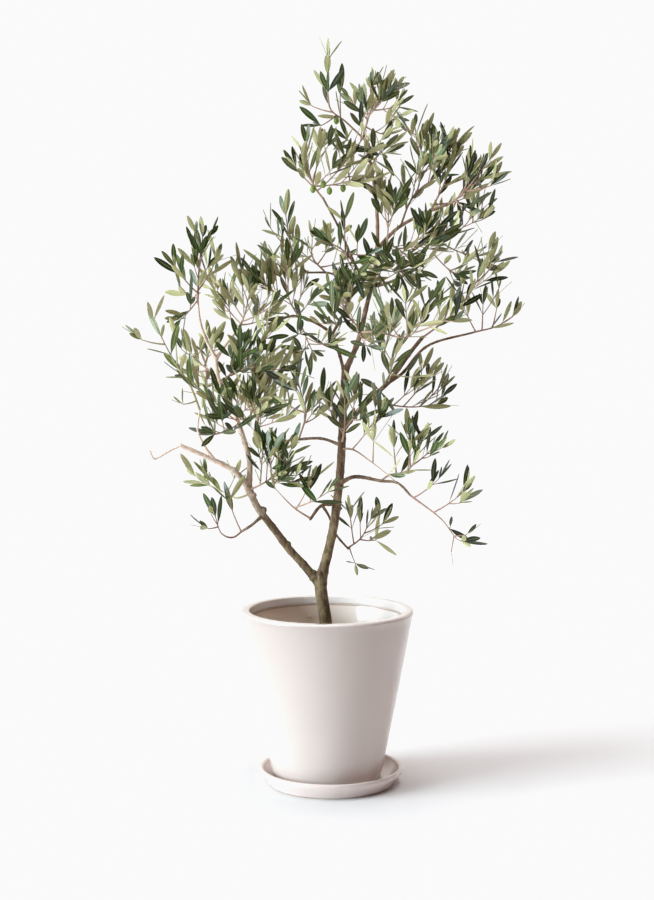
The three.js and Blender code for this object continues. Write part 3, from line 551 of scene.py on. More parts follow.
# %% Saucer
SAUCER_FOOT, SAUCER_RIM, SAUCER_TOP, SAUCER_WALL = 110, 125, 29, 8
SAUCER_SHIFT = 7
NEARLY_CENTRE = 0.01


def saucer_profile():
    """From the middle out under the foot, up to the rounded rim and back inside."""
    half = SAUCER_WALL / 2
    points = [(NEARLY_CENTRE, 0), (SAUCER_FOOT - 4, 0)]
    points += arc(SAUCER_FOOT - 4, 4, 4, -90, -25, 3)
    points += [(SAUCER_FOOT + 3.5, 9), (SAUCER_FOOT + 8.5, 16)]
    points += arc(SAUCER_RIM - half, SAUCER_TOP - half, half, -20, 190, 10)
    points += [(SAUCER_FOOT - 4, 15.5), (SAUCER_FOOT - 7, 13), (SAUCER_FOOT - 11, 12), (NEARLY_CENTRE, 12)]
    return points


clay = Clay()
points, faces = turned(saucer_profile(), TURNED_SIDES)
clay.add(np.array(points) + [SAUCER_SHIFT, 0, 0], faces)
clay.make("saucer_dish", [saucer_glaze], "glaze", ["saucer"])

# %% [markdown]
# ## Soil
#
# Potting soil is a bed of crumbs: dark fibre, a little bark, and pale pumice grains. One gently
# uneven disc would look like a lid, so it gets relief at two sizes and loose grains are strewn over
# it by a number stream that always runs the same way.

# %% Soil finish, and numbers drawn from a seed
SOIL_TOP = 235


def seeded_draws(seed):
    """Numbers from 0 to 1 that always come in the same order from one seed."""
    state = (seed * 7919) % 2147483647
    while True:
        state = (state * 48271) % 2147483647
        yield state / 2147483647


soil_material, finish = new_finish("potting_soil")
where = finish.where()
crumb = finish.grain(where, 0.006, detail=5.0)
damp = finish.grain(where, 0.05, detail=2.0)
dark = finish.blend(damp.rises(0.3, 0.7), rgb(74, 57, 44), rgb(103, 81, 61))
soil_colour = finish.blend(crumb.rises(0.5, 0.75), dark, rgb(139, 113, 83))
finish.surface(Base_Color=soil_colour, Roughness=0.95, Specular_IOR_Level=0.25,
               Normal=finish.relief(crumb, 0.003))
print("the soil lies", POT_TOP - SOIL_TOP, "mm below the rim")

# %% Bed of soil
RINGS, SECTORS = 46, 120
MOUND, MOUND_RADIUS = 2.0, 30


def soil_height(x, y):
    """The uneven top of the bed: crumbs of a centimetre or so on broad swells."""
    bump = noise.fractal(Vector((x / 14, y / 14, 3.7)), 0.8, 2.1, 4)
    swell = noise.noise(Vector((x / 60, y / 60, 9.1)))
    return SOIL_TOP - 5 + 2.2 * bump + 2.5 * swell


soil_radius = inner_wall(SOIL_TOP) - 0.6
points = []
for ring in range(RINGS + 1):
    radius = soil_radius * (0.02 + 0.98 * ring / RINGS)
    for sector in range(SECTORS):
        x, y = radius * cos(2 * pi * sector / SECTORS), radius * sin(2 * pi * sector / SECTORS)
        mound = MOUND * exp(-(hypot(x, y) / MOUND_RADIUS) ** 2)
        points.append((x, y, soil_height(x, y) + mound))
clay = Clay()
clay.add(points, faces_between(RINGS, SECTORS))
clay.add(points[:SECTORS], [list(range(SECTORS))])
clay.make("soil_bed", [soil_material], "earth", ["soil"])

# %% Grains on the soil
GRAINS, GRAIN_SEED, PALE_FROM = 900, 77, 0.72


def crumb_finish(name, size, deep, light):
    """Two colours that mix in spots of `size` metres."""
    material, finish = new_finish(name)
    finish.surface(Base_Color=finish.blend(finish.grain(finish.where(), size), deep, light), Roughness=0.9)
    return material


grain_pale = crumb_finish("pumice_grain", 0.002, rgb(185, 173, 154), rgb(240, 232, 212))
grain_dark = crumb_finish("bark_crumb", 0.003, rgb(81, 59, 44), rgb(137, 103, 74))
clay = Clay()
draws = seeded_draws(GRAIN_SEED)
ball_points, ball_faces = even_ball(1)
for _ in range(GRAINS):
    bearing, place, size, tone = (next(draws) for _ in range(4))
    radius = (soil_radius - 5) * (0.04 + 0.96 * place ** 0.5)
    x, y = radius * cos(2 * pi * bearing), radius * sin(2 * pi * bearing)
    girth = 1.2 + 2.6 * size ** 2
    grain = ball_points * [girth, girth * (0.6 + 0.4 * tone), girth * 0.6]
    dents = [noise.noise(Vector(point) + Vector((x, y, 0))) for point in grain / girth]
    grain = grain + 0.25 * girth * np.array(dents)[:, None]
    turn = 7 * tone
    grain = grain @ np.array([[cos(turn), sin(turn), 0], [-sin(turn), cos(turn), 0], [0, 0, 1]])
    clay.add(grain + [x, y, soil_height(x, y)], ball_faces, int(tone > PALE_FROM))
clay.make("soil_grains", [grain_dark, grain_pale], "earth", ["soil"], smooth=False)

# %% [markdown]
# ## The plan of the tree
#
# A tree is a set of lines before it is anything else. Each bough leaves another at a share of its
# length (0 is the foot, 1 the tip), passes through a few knees and tapers between two radii; a knob
# has a place on its bough, a direction and a size. Each spray has one stem and a few shoots, given by
# where they leave the stem and where they end. Its first `bare` millimetres carry no leaves, `full`
# says how leafy it is, and an olive hangs from one of its lines, 0 for the stem, at a share of it.

# %% Boughs and sprays
TRUNK_KNEES = [(0, 0, 225), (-2, 0, 280), (-9, 0, 326), (-12, 0, 356)]
TRUNK_RADIUS = 10.8
LIMBS = {
    "stem_left": dict(on="trunk", at=0.93, girth=(7.2, 6),
        knees=[(-40, -2, 382), (-64, -6, 409), (-90, -12, 445), (-118, -19, 483), (-135, -25, 520)],
        knobs=[(0.42, (0.6, 0, 0.8), 5.5), (0.76, (0.5, 0, 0.85), 7)]),
    "stem_right": dict(on="trunk", at=0.95, girth=(8.3, 6.4),
        knees=[(-4, 2, 382), (5, 4, 417), (15, 8, 472), (24, 8, 560), (27, 5, 641), (31, 0, 716)]),
    "limb_left_pruned": dict(on="stem_left", at=0.96, girth=(5.2, 3.6),
        knees=[(-147, -32, 538), (-167, -40, 555), (-200, -54, 573), (-247, -70, 596)]),
    "twig_left_bare": dict(on="limb_left_pruned", at=0.99, girth=(1.7, 1.2),
        knees=[(-266, -76, 585), (-289, -84, 574), (-295, -86, 587)]),
    "limb_left_upright": dict(on="stem_left", at=0.99, girth=(5, 3.9),
        knees=[(-132, -22, 560), (-145, -16, 610), (-165, -5, 659), (-186, 9, 700), (-192, 18, 740)]),
    "limb_left_arch": dict(on="limb_left_pruned", at=0.55, girth=(2.3, 1.7),
        knees=[(-206, -66, 594), (-216, -80, 622), (-211, -95, 658)]),
    "limb_left_crown": dict(on="limb_left_upright", at=1, girth=(2.9, 2),
        knees=[(-206, 8, 768), (-216, -3, 800), (-220, -10, 838)]),
    "limb_left_inner": dict(on="limb_left_upright", at=0.985, girth=(3.1, 2.2),
        knees=[(-172, 31, 765), (-151, 45, 790)]),
    "limb_left_low": dict(on="stem_left", at=0.74, girth=(3.1, 2.1),
        knees=[(-128, -42, 457), (-144, -64, 449)]),
    "limb_cross": dict(on="stem_right", at=0.655, girth=(2.8, 1.8),
        knees=[(-9, 35, 598), (-58, 68, 593), (-116, 100, 581)]),
    "limb_centre_low": dict(on="stem_right", at=0.38, girth=(3.4, 2.4),
        knees=[(-10, -10, 486), (-29, -30, 465)]),
    "limb_centre_back": dict(on="limb_centre_low", at=0.45, girth=(2.4, 1.8),
        knees=[(4, 28, 462), (16, 52, 428), (38, 80, 398)]),
    "limb_right_low": dict(on="stem_right", at=0.475, girth=(4, 2),
        knees=[(46, -20, 537), (92, -68, 535), (118, -92, 534), (140, -112, 514)]),
    "limb_right": dict(on="stem_right", at=0.73, girth=(5, 3.6),
        knees=[(43, 25, 634), (78, 58, 668), (107, 80, 693), (148, 104, 746), (170, 112, 773)]),
    "limb_right_long": dict(on="limb_right", at=0.55, girth=(2.9, 1.8),
        knees=[(132, 96, 708), (178, 138, 755), (268, 185, 780)]),
    "limb_inner_left": dict(on="stem_right", at=0.985, girth=(3.2, 1.9),
        knees=[(19, 40, 752), (6, 60, 781), (-54, 48, 810), (-113, 30, 793)]),
    "limb_inner_rise": dict(on="limb_inner_left", at=0.4, girth=(2.4, 1.7),
        knees=[(30, 76, 820), (36, 85, 855), (13, 80, 882), (-37, 70, 886)]),
    "leader": dict(on="stem_right", at=1, girth=(4.9, 2.2),
        knees=[(52, -4, 765), (66, -5, 822), (82, 2, 892), (86, 8, 965), (78, 12, 1045),
               (62, 12, 1119)]),
    "limb_back_right": dict(on="leader", at=0.365, girth=(3, 2.1),
        knees=[(112, 52, 870), (150, 98, 890), (182, 130, 912)]),
    "limb_upper_right": dict(on="leader", at=0.525, girth=(3.3, 2.1),
        knees=[(117, -28, 957), (154, -60, 978), (205, -95, 997)]),
    "limb_upper_left": dict(on="leader", at=0.335, girth=(2.6, 1.7),
        knees=[(41, -45, 910), (20, -66, 957), (-7, -85, 1006)]),
}
SPRAYS = {
    "spray_far_left": dict(on="limb_left_arch", at=0.99, bare=12, full=0.05, tone="fresh",
        stem=[(-226, -112, 699), (-250, -128, 738), (-281, -150, 804)],
        shoots=[(0.1, -236, -128, 668), (0.5, -250, -98, 776), (0.75, -300, -152, 774)]),
    "spray_left_crown": dict(on="limb_left_crown", at=0.99, bare=8, full=0.9, tone="green",
        stem=[(-216, -18, 896), (-210, -22, 942)],
        shoots=[(0.12, -254, -46, 892), (0.16, -190, 14, 904), (0.05, -240, 12, 846),
                (0.01, -246, -34, 806)]),
    "spray_left_inner": dict(on="limb_left_inner", at=0.99, bare=10, full=0.9, tone="grey",
        stem=[(-141, 38, 818), (-134, 30, 848)],
        shoots=[(0.3, -170, 64, 846), (0.2, -98, 14, 826), (0.1, -112, 84, 804),
                (0.12, -204, 104, 864), (0.02, -176, 58, 812)]),
    "spray_left_front": dict(on="limb_left_upright", at=0.8, bare=16, full=1.0, tone="green",
        stem=[(-161, -32, 717), (-139, -64, 758)],
        shoots=[(0.4, -104, -54, 744), (0.5, -120, -104, 728)]),
    "spray_left_back": dict(on="limb_left_upright", at=0.87, bare=20, full=0.9, tone="dark",
        stem=[(-213, 50, 722), (-238, 82, 744)],
        shoots=[(0.35, -242, 58, 712), (0.5, -206, 110, 762), (0.45, -212, 104, 684)]),
    "spray_left_rosette": dict(on="limb_left_upright", at=0.46, bare=12, full=2.4, tone="grey",
        stem=[(-153, -45, 646), (-150, -64, 676)],
        shoots=[(0.2, -189, -52, 668), (0.3, -112, -88, 652), (0.1, -186, -84, 616)]),
    "spray_left_fork": dict(on="stem_left", at=0.975, bare=22, full=1.0, tone="green",
        stem=[(-110, -52, 528), (-76, -88, 552)],
        shoots=[(0.6, -60, -106, 590), (0.35, -108, -80, 584), (0.7, -48, -88, 536)]),
    "spray_cross_end": dict(on="limb_cross", at=0.99, bare=10, full=1.6, tone="grey",
        stem=[(-124, 120, 616), (-110, 140, 668), (-100, 150, 716)],
        shoots=[(0.25, -74, 122, 630), (0.4, -146, 154, 656)]),
    "spray_cross_middle": dict(on="limb_cross", at=0.55, bare=14, full=0.7, tone="green",
        stem=[(-37, 57, 640), (-46, 50, 680), (-54, 46, 712)],
        shoots=[(0.4, -8, 38, 668), (0.4, -86, 86, 664), (0.25, -14, 80, 636)]),
    "spray_left_elbow": dict(on="stem_left", at=0.94, bare=40, full=0.5, tone="fresh",
        stem=[(-156, -12, 500), (-178, 4, 508), (-202, 18, 518)],
        shoots=[(0.6, -160, 0, 532), (0.7, -228, 32, 532)]),
    "spray_left_low": dict(on="limb_left_low", at=0.97, bare=62, full=0.5, tone="green",
        stem=[(-158, -80, 441), (-176, -106, 452), (-184, -122, 480)],
        shoots=[(0.03, -166, -50, 498), (0.8, -196, -126, 462)]),
    "spray_centre_low": dict(on="limb_centre_low", at=0.97, bare=62, full=0.35, tone="grey",
        stem=[(-56, -52, 488), (-86, -76, 522)],
        shoots=[(0.4, -28, -76, 534), (0.45, 0, -92, 518)]),
    "spray_low_back": dict(on="limb_centre_back", at=0.98, bare=10, full=0.6, tone="dark",
        stem=[(60, 84, 417), (77, 80, 450)],
        shoots=[(0.2, 40, 56, 466), (0.6, 98, 94, 440), (0.4, 86, 108, 410), (0.05, 50, 88, 372)]),
    "spray_right_low": dict(on="limb_right_low", at=0.59, bare=26, full=1.0, tone="green",
        stem=[(103, -76, 545), (136, -88, 556), (158, -97, 604)],
        shoots=[(0.3, 112, -76, 590), (0.6, 172, -112, 592), (0.55, 138, -56, 610)]),
    "spray_right_droop": dict(on="limb_right_low", at=0.99, bare=74, full=0.6, tone="dark",
        stem=[(189, -150, 479), (210, -168, 452), (218, -174, 448)],
        shoots=[(0.05, 182, -146, 546), (0.42, 222, -156, 526)]),
    "spray_stem_rosette": dict(on="stem_right", at=0.66, bare=16, full=0.9, tone="grey",
        stem=[(30, -32, 627), (30, -48, 670)],
        shoots=[(0.4, 4, -36, 656), (0.45, 54, -64, 658)]),
    "spray_right_sag": dict(on="stem_right", at=0.64, bare=130, full=0.5, tone="grey",
        stem=[(45, -26, 584), (70, -62, 570), (101, -100, 549)],
        shoots=[(0.25, 86, -70, 648), (0.7, 78, -66, 600)]),
    "spray_right_under": dict(on="limb_right", at=0.4, bare=66, full=0.8, tone="dark",
        stem=[(104, 78, 657), (148, 100, 649), (194, 122, 652)],
        shoots=[(0.5, 178, 120, 702), (0.75, 208, 142, 690), (0.35, 146, 82, 682)]),
    "spray_centre_pale": dict(on="limb_right", at=0.56, bare=14, full=0.9, tone="fresh",
        stem=[(112, 42, 722), (122, 24, 752)],
        shoots=[(0.3, 94, 28, 760), (0.35, 150, 56, 704), (0.3, 84, 22, 676)]),
    "spray_leader_front": dict(on="leader", at=0.19, bare=24, full=1.6, tone="grey",
        stem=[(41, -50, 805), (23, -84, 838)],
        shoots=[(0.7, 43, -96, 862), (0.5, -2, -102, 802), (0.3, 66, -76, 762)]),
    "spray_inner_left": dict(on="limb_inner_left", at=0.7, bare=8, full=2.0, tone="grey",
        stem=[(-65, 50, 838), (-72, 50, 872)],
        shoots=[(0.2, -40, 66, 858), (0.04, -26, 22, 752), (0.5, -104, 44, 862), (0.1, -48, 14, 812)]),
    "spray_inner_top": dict(on="limb_inner_rise", at=0.8, bare=12, full=0.6, tone="green",
        stem=[(-25, 85, 912), (-26, 95, 944)],
        shoots=[(0.3, 4, 104, 932), (0.2, 24, 64, 904), (0.3, -52, 118, 930)]),
    "spray_inner_tip": dict(on="limb_inner_rise", at=0.99, bare=14, full=0.4, tone="green",
        stem=[(-55, 80, 911), (-66, 90, 944), (-72, 95, 984)],
        shoots=[(0.35, -98, 82, 962), (0.25, -94, 114, 918)]),
    "spray_front": dict(on="leader", at=0.175, bare=88, full=0.7, tone="grey",
        stem=[(84, -38, 785), (136, -105, 779), (167, -148, 834)],
        shoots=[(0.6, 128, -132, 832), (0.68, 198, -158, 812), (0.5, 100, -122, 806)]),
    "spray_right": dict(on="limb_right", at=0.99, bare=12, full=0.55, tone="dark",
        stem=[(200, 116, 794), (236, 114, 826), (262, 108, 866), (284, 100, 924)],
        shoots=[(0.2, 200, 136, 842), (0.4, 240, 146, 864), (0.7, 298, 124, 904)]),
    "spray_right_long": dict(on="limb_right_long", at=0.99, bare=8, full=0.4, tone="dark",
        stem=[(308, 194, 790), (338, 204, 808)],
        shoots=[(0.2, 282, 178, 828), (0.45, 310, 212, 822), (0.05, 250, 214, 826)]),
    "spray_back_right": dict(on="limb_back_right", at=0.99, bare=10, full=1.2, tone="dark",
        stem=[(213, 146, 945), (246, 160, 970), (268, 165, 1000)],
        shoots=[(0.3, 268, 184, 916), (0.1, 230, 154, 882), (0.35, 218, 176, 990)]),
    "spray_right_top": dict(on="limb_upper_right", at=0.99, bare=8, full=0.5, tone="dark",
        stem=[(226, -110, 1016), (242, -120, 1036), (262, -130, 1062)],
        shoots=[(0.3, 236, -98, 1056), (0.35, 264, -142, 1022), (0.1, 230, -126, 980)]),
    "spray_upper_rise": dict(on="limb_upper_right", at=0.38, bare=20, full=0.9, tone="green",
        stem=[(137, -34, 998), (153, -30, 1026), (157, -26, 1066), (158, -26, 1100)],
        shoots=[(0.4, 188, -54, 1052), (0.2, 130, -14, 1030), (0.6, 182, -46, 1082)]),
    "spray_upper_middle": dict(on="limb_upper_right", at=0.76, bare=14, full=1.2, tone="dark",
        stem=[(195, -62, 1032), (206, -46, 1066), (212, -40, 1094)],
        shoots=[(0.4, 238, -66, 1044), (0.5, 186, -8, 1076), (0.1, 226, -46, 1006)]),
    "spray_upper_low": dict(on="limb_upper_right", at=0.1, bare=16, full=2.3, tone="grey",
        stem=[(121, -60, 921), (145, -92, 896)],
        shoots=[(0.5, 164, -108, 934), (0.5, 126, -62, 878), (0.15, 103, -52, 990),
                (0.12, 88, -64, 880)]),
    "spray_top_left": dict(on="leader", at=0.975, bare=30, full=0.25, tone="green",
        stem=[(30, 5, 1140), (6, 0, 1159), (1, -5, 1199), (2, -8, 1240)],
        shoots=[(0.45, -26, 12, 1166), (0.35, 22, -22, 1180), (0.4, -10, -18, 1130)],
        olives=[(0, 0.4)]),
    "spray_top_right": dict(on="leader", at=1, bare=6, full=2.4, tone="grey",
        stem=[(69, 15, 1142), (76, 20, 1164), (98, 25, 1194)],
        shoots=[(0.5, 116, 6, 1164), (0.15, 100, 40, 1120), (0.4, 48, 44, 1166), (0.03, 92, -8, 1086),
                (0.01, 50, -26, 1092), (0.02, 80, 34, 1078), (0.3, 60, -22, 1150)]),
    "spray_olives": dict(on="limb_upper_left", at=0.98, bare=10, full=0.8, tone="grey",
        stem=[(-22, -95, 1026), (-32, -105, 1060), (-34, -110, 1088)],
        shoots=[(0.25, -50, -124, 1052), (0.35, -12, -94, 1082), (0.2, 34, -64, 1070),
                (0.3, 8, -122, 1050), (0.3, 38, -84, 1034)],
        olives=[(0, 0.35), (4, 0.5), (5, 0.42), (5, 0.8)]),
    "spray_upper_left": dict(on="limb_upper_left", at=0.35, bare=16, full=0.4, tone="green",
        stem=[(21, -82, 924), (-4, -104, 934)],
        shoots=[(0.4, 28, -100, 966), (0.4, 38, -108, 896), (0.45, 62, -98, 912)]),
}
print(len(LIMBS), "boughs and", len(SPRAYS), "sprays")

# %% [markdown]
# ## Curves that are walked by length
#
# Growth is a matter of length: so many millimetres of bare wood, then a pair of leaves at every
# step. The curve through the knees is therefore turned into many short steps once, and afterwards
# asked for the point, the direction and the two sideways directions at any share of its length.

# %% Curves
def unit(vector):
    return vector / np.linalg.norm(vector)


def through_knees(knees, steps=24):
    """A smooth curve through points (centripetal, so that it never loops at uneven spacing)."""
    p = np.asarray(knees, dtype=float)
    p = np.vstack([2 * p[0] - p[1], p, 2 * p[-1] - p[-2]])
    path = [p[1]]
    for a, b, c, d in zip(p, p[1:], p[2:], p[3:]):
        before, span, after = (np.linalg.norm(v) ** 0.5 for v in (b - a, c - b, d - c))
        leave = ((b - a) / before - (c - a) / (before + span) + (c - b) / span) * span
        arrive = ((c - b) / span - (d - b) / (span + after) + (d - c) / after) * span
        for t in np.arange(1, steps + 1) / steps:
            path.append(b + leave * t + (-3 * b + 3 * c - 2 * leave - arrive) * t ** 2
                        + (2 * b - 2 * c + leave + arrive) * t ** 3)
    return Curve(path)


def shoot_curve(foot, tip, steps=24):
    """A shoot leaves its stem a little flat and lifts toward the light."""
    foot, tip = np.asarray(foot, dtype=float), np.asarray(tip, dtype=float)
    middle = (foot + tip) / 2 - np.array([0, 0, 0.08 * np.linalg.norm(tip - foot)])
    t = np.linspace(0, 1, steps + 1)[:, None]
    return Curve((1 - t) ** 2 * foot + 2 * t * (1 - t) * middle + t ** 2 * tip)


class Curve:
    """A path that is asked for places by their share of its length."""
    FRAMES = 60
    STEP = 0.01

    def __init__(self, path):
        self.path = np.asarray(path)
        walked = np.linalg.norm(np.diff(self.path, axis=0), axis=1)
        self.walked = np.concatenate([[0], np.cumsum(walked)])
        self.length = self.walked[-1]
        self.carry_sideways()

    def at(self, share):
        distance = np.clip(share, 0, 1) * self.length
        return np.stack([np.interp(distance, self.walked, self.path[:, axis]) for axis in range(3)], axis=-1)

    def heading(self, share):
        return unit(self.at(min(1, share + self.STEP)) - self.at(max(0, share - self.STEP)))

    def carry_sideways(self):
        """Sideways directions that turn no more than the curve does."""
        headings = [self.heading(i / self.FRAMES) for i in range(self.FRAMES + 1)]
        least = np.eye(3)[np.argmin(np.abs(headings[0]))]
        side = unit(np.cross(headings[0], unit(np.cross(headings[0], least))))
        self.sides = [side]
        for heading in headings[1:]:
            side = unit(side - heading * np.dot(side, heading))
            self.sides.append(side)
        self.sides = np.array(self.sides)
        self.others = np.cross(np.array(headings), self.sides)

    def outward(self, share, angle):
        """The direction at an angle round the curve."""
        i = round(np.clip(share, 0, 1) * self.FRAMES)
        return self.sides[i] * cos(angle) + self.others[i] * sin(angle)


def tube(curve, rings, sides, radius_at, rounded_tip=False):
    """Points and faces of a closed tube; radius_at takes shares along the curve."""
    shares = np.linspace(0, 1, rings + 1)
    angles = np.linspace(0, 2 * pi, sides, endpoint=False)
    points = []
    for share in shares:
        centre, radius = curve.at(share), radius_at(share)
        points += [centre + curve.outward(share, angle) * radius for angle in angles]
    faces = faces_between(rings, sides)
    last = rings * sides
    if rounded_tip:
        points.append(curve.at(1) + curve.heading(1) * radius_at(1) * 0.8)
        faces += [[last + side, last + (side + 1) % sides, len(points) - 1] for side in range(sides)]
    else:
        faces.append([last + side for side in range(sides)])
    faces.append(list(reversed(range(sides))))
    return points, faces


limbs = {"trunk": dict(curve=through_knees(TRUNK_KNEES), girth=(TRUNK_RADIUS, TRUNK_RADIUS))}
for name, limb in LIMBS.items():
    foot = limbs[limb["on"]]["curve"].at(limb["at"])
    limbs[name] = dict(limb, curve=through_knees([foot, *limb["knees"]]))
wood_length = sum(limb["curve"].length for limb in limbs.values())
print("wood from the soil to the last bough's tip:", round(wood_length / 1000, 2), "m")

# %% [markdown]
# ## Bark
#
# An olive's young bark is smooth and grey-brown, paler on thin boughs, with shallow wrinkles, raised
# scars where leaves stood, and a green bloom of algae low down. In the finish the boughs far on the
# left, toward the window, are paler still, partly as painted light, and the creases of the grain are
# darkened as painted shade. The boughs are first laid out as tubes that swell where they leave one
# another, with lumps for old pruning cuts. A voxel remesh melts the stout ones into one skin, as real
# wood grows together at a fork; boughs that are only a few millimetres thick keep their tubes. Then
# every point is moved along its normal by noise that is longer along the wood.

# %% Wood as tubes that swell at their joints
STOUT = 4.0
ROOTS, ROOT_FLARE, FLARE_HEIGHT = 5, 6.0, 55.0
TRUNK_CLIMB = TRUNK_KNEES[-1][2] - TRUNK_KNEES[0][2]
FIRST_SCAR, SCAR_SPACING, SCAR_HALF_LENGTH = 18, 30, 2.6
FIRST_SCAR_SEED = 301


def near_root(share):
    """1 where the trunk leaves the soil, fading up the trunk."""
    return exp(-3 * share * TRUNK_CLIMB / FLARE_HEIGHT)


def trunk_radius(share):
    """The trunk's radius at a share of its length, before its ridges."""
    return TRUNK_RADIUS + ROOT_FLARE * near_root(share)


def ridged_trunk(curve, rings=44, sides=40):
    """The trunk as a tube with a low ridge above each root."""
    points, faces = tube(curve, rings, sides, trunk_radius)
    for i, point in enumerate(points):
        ring, side = divmod(i, sides)
        centre = curve.at(ring / rings)
        ridge = 0.16 * near_root(ring / rings) * cos(ROOTS * 2 * pi * side / sides)
        points[i] = centre + (point - centre) * (1 + ridge)
    return points, faces


def scars_along(limb, seed):
    """Places and heights of the swollen scars left by leaves and shoots that have gone."""
    draws = seeded_draws(seed)
    length = limb["curve"].length
    places = np.arange(FIRST_SCAR, length - 4, SCAR_SPACING)
    return [((place + 14 * (next(draws) - 0.5)) / length, 0.06 + 0.14 * next(draws)) for place in places]


def limb_radius(limb, scars):
    """A bough's radius at any share: its taper, the collar it leaves its parent with, its scars."""
    thick, thin = limb["girth"]
    length = limb["curve"].length

    def radius_at(share):
        collar = 0.5 * thick * exp(-share * length / (1.9 * thick))
        swollen = sum(height * exp(-((share - place) * length / SCAR_HALF_LENGTH) ** 2)
                      for place, height in scars)
        return (thick + (thin - thick) * share + collar) * (1 + swollen)
    return radius_at


stout, slender = Clay(), Clay()
stout.add(*ridged_trunk(limbs["trunk"]["curve"]))
for seed, name in enumerate(LIMBS, start=FIRST_SCAR_SEED):
    limb = limbs[name]
    is_stout = limb["girth"][0] >= STOUT
    clay, sides, spacing = (stout, 24, 2.4) if is_stout else (slender, 12, 2.0)
    rings = max(8, round(limb["curve"].length / spacing))
    clay.add(*tube(limb["curve"], rings, sides, limb_radius(limb, scars_along(limb, seed)), rounded_tip=True))
print("stout points:", stout.count, "slender points:", slender.count)

# %% Lumps where shoots were cut away
ROUND = (1, 1, 1)
LUMPS = [
    ("stem_right", 0.03, (-3.5, -7, 4), 6.5, (0.75, 0.8, 1.5)),
    ("stem_right", 0.03, (-13, -4, 10), 4, ROUND),
    ("stem_right", 0.36, (7.5, -3, 0), 3.2, ROUND),
    ("stem_left", 0.93, (4, -6, 0), 5.5, ROUND),
    ("limb_left_pruned", 0.3, (0, -3, 4), 4, ROUND),
]


def add_lump(centre, size, shape=ROUND):
    """A ball of wood that melts into the stout boughs."""
    points, faces = even_ball(3, size)
    stout.add(points * shape + centre, faces)


for limb in limbs.values():
    for place, toward, size in limb.get("knobs", []):
        add_lump(limb["curve"].at(place) + unit(np.array(toward)) * size * 0.9, size * 0.92)
for name, place, offset, size, shape in LUMPS:
    add_lump(limbs[name]["curve"].at(place) + offset, size, shape)
print("stout points with the lumps:", stout.count)

# %% Melting the stout wood into one skin
VOXEL = 0.00125
CUT_BELOW_SOIL = 8


def vectors_of(vertices, kind):
    """A row for each vertex: its place, `co`, or its `normal`."""
    rows = np.empty(len(vertices) * 3)
    vertices.foreach_get(kind, rows)
    return rows.reshape(-1, 3)


def melted(clay, name):
    """Points and faces of the one skin round all the parts of a clay."""
    mesh = bpy.data.meshes.new(name)
    mesh.from_pydata((np.concatenate(clay.points) * MM).tolist(), [], clay.faces)
    draft = bpy.data.objects.new(name, mesh)
    bpy.context.collection.objects.link(draft)
    remesh = draft.modifiers.new("melt", "REMESH")
    remesh.mode = "VOXEL"
    remesh.voxel_size = VOXEL
    smooth = draft.modifiers.new("ease", "SMOOTH")
    smooth.factor = 0.5
    smooth.iterations = 6
    done = draft.evaluated_get(bpy.context.evaluated_depsgraph_get()).to_mesh()
    points = vectors_of(done.vertices, "co") / MM
    faces = [list(face.vertices) for face in done.polygons]
    bpy.data.objects.remove(draft)
    bpy.data.meshes.remove(mesh)
    return points, faces


melted_points, melted_faces = melted(stout, "stout_wood")
melted_points[:, 2] = np.maximum(melted_points[:, 2], SOIL_TOP - CUT_BELOW_SOIL)
wood = Clay()
wood.add(melted_points, melted_faces)
wood.add(np.concatenate(slender.points), slender.faces)
print("melted wood:", len(melted_points), "points, cut flat", CUT_BELOW_SOIL, "mm below the soil")

# %% Bark finish
bark, finish = new_finish("bark")
where = finish.where()
x, _, height = finish.axes(where)
long_grain = finish.grain(where, 0.004, detail=5.0, stretch=(1.0, 1.0, 0.3))
patch = finish.grain(where, 0.022, detail=4.0)
mottle = patch.rises(0.35, 0.65)
old = finish.blend(mottle, rgb(96, 72, 58), rgb(150, 125, 102))
fresh = finish.blend(mottle, rgb(120, 92, 76), rgb(160, 130, 108))
# Pale colour of the far-left boughs: partly their own paler thin bark, partly painted light from the window.
slim_pale_and_lit = finish.blend(mottle, rgb(236, 204, 184), rgb(244, 226, 210))
far_left_pale_and_lit = x.rises(-0.1, -0.165)
colour = finish.blend(far_left_pale_and_lit, finish.blend(height.rises(0.6, 1.05), old, fresh), slim_pale_and_lit)
algae = height.rises(0.62, 0.36) * finish.grain(where, 0.009, detail=4.0).rises(0.42, 0.66) * 0.75
colour = finish.blend(algae, colour, rgb(124, 124, 72))
# The creases of the grain are darkened: painted shade, weaker on the far left.
crease_painted_shade = long_grain.rises(0.54, 0.36) * (0.7 - far_left_pale_and_lit * 0.5)
colour = finish.blend(crease_painted_shade, colour, rgb(72, 54, 42))
squat = finish.node("Mapping", Vector=where, Scale=(1.0, 1.0, 0.6))
pore = finish.node("TexVoronoi", output="Distance", Vector=squat, Scale=230.0)
colour = finish.blend(pore.rises(0.16, 0.08) * 0.5, colour, rgb(212, 193, 166))
finish.surface(Base_Color=colour, Roughness=0.72 + long_grain * 0.2, Specular_IOR_Level=0.3,
               Normal=finish.relief(long_grain * 0.7 + patch * 0.3, 0.0012, 0.8))
print("bark finish has", len(finish.tree.nodes), "nodes")

# %% The bark's own relief
BARK_RELIEF = 0.45
WRINKLE, WRINKLE_LENGTH = 4.2, 11
SWELLING, SWELLING_LENGTH = 16, 30


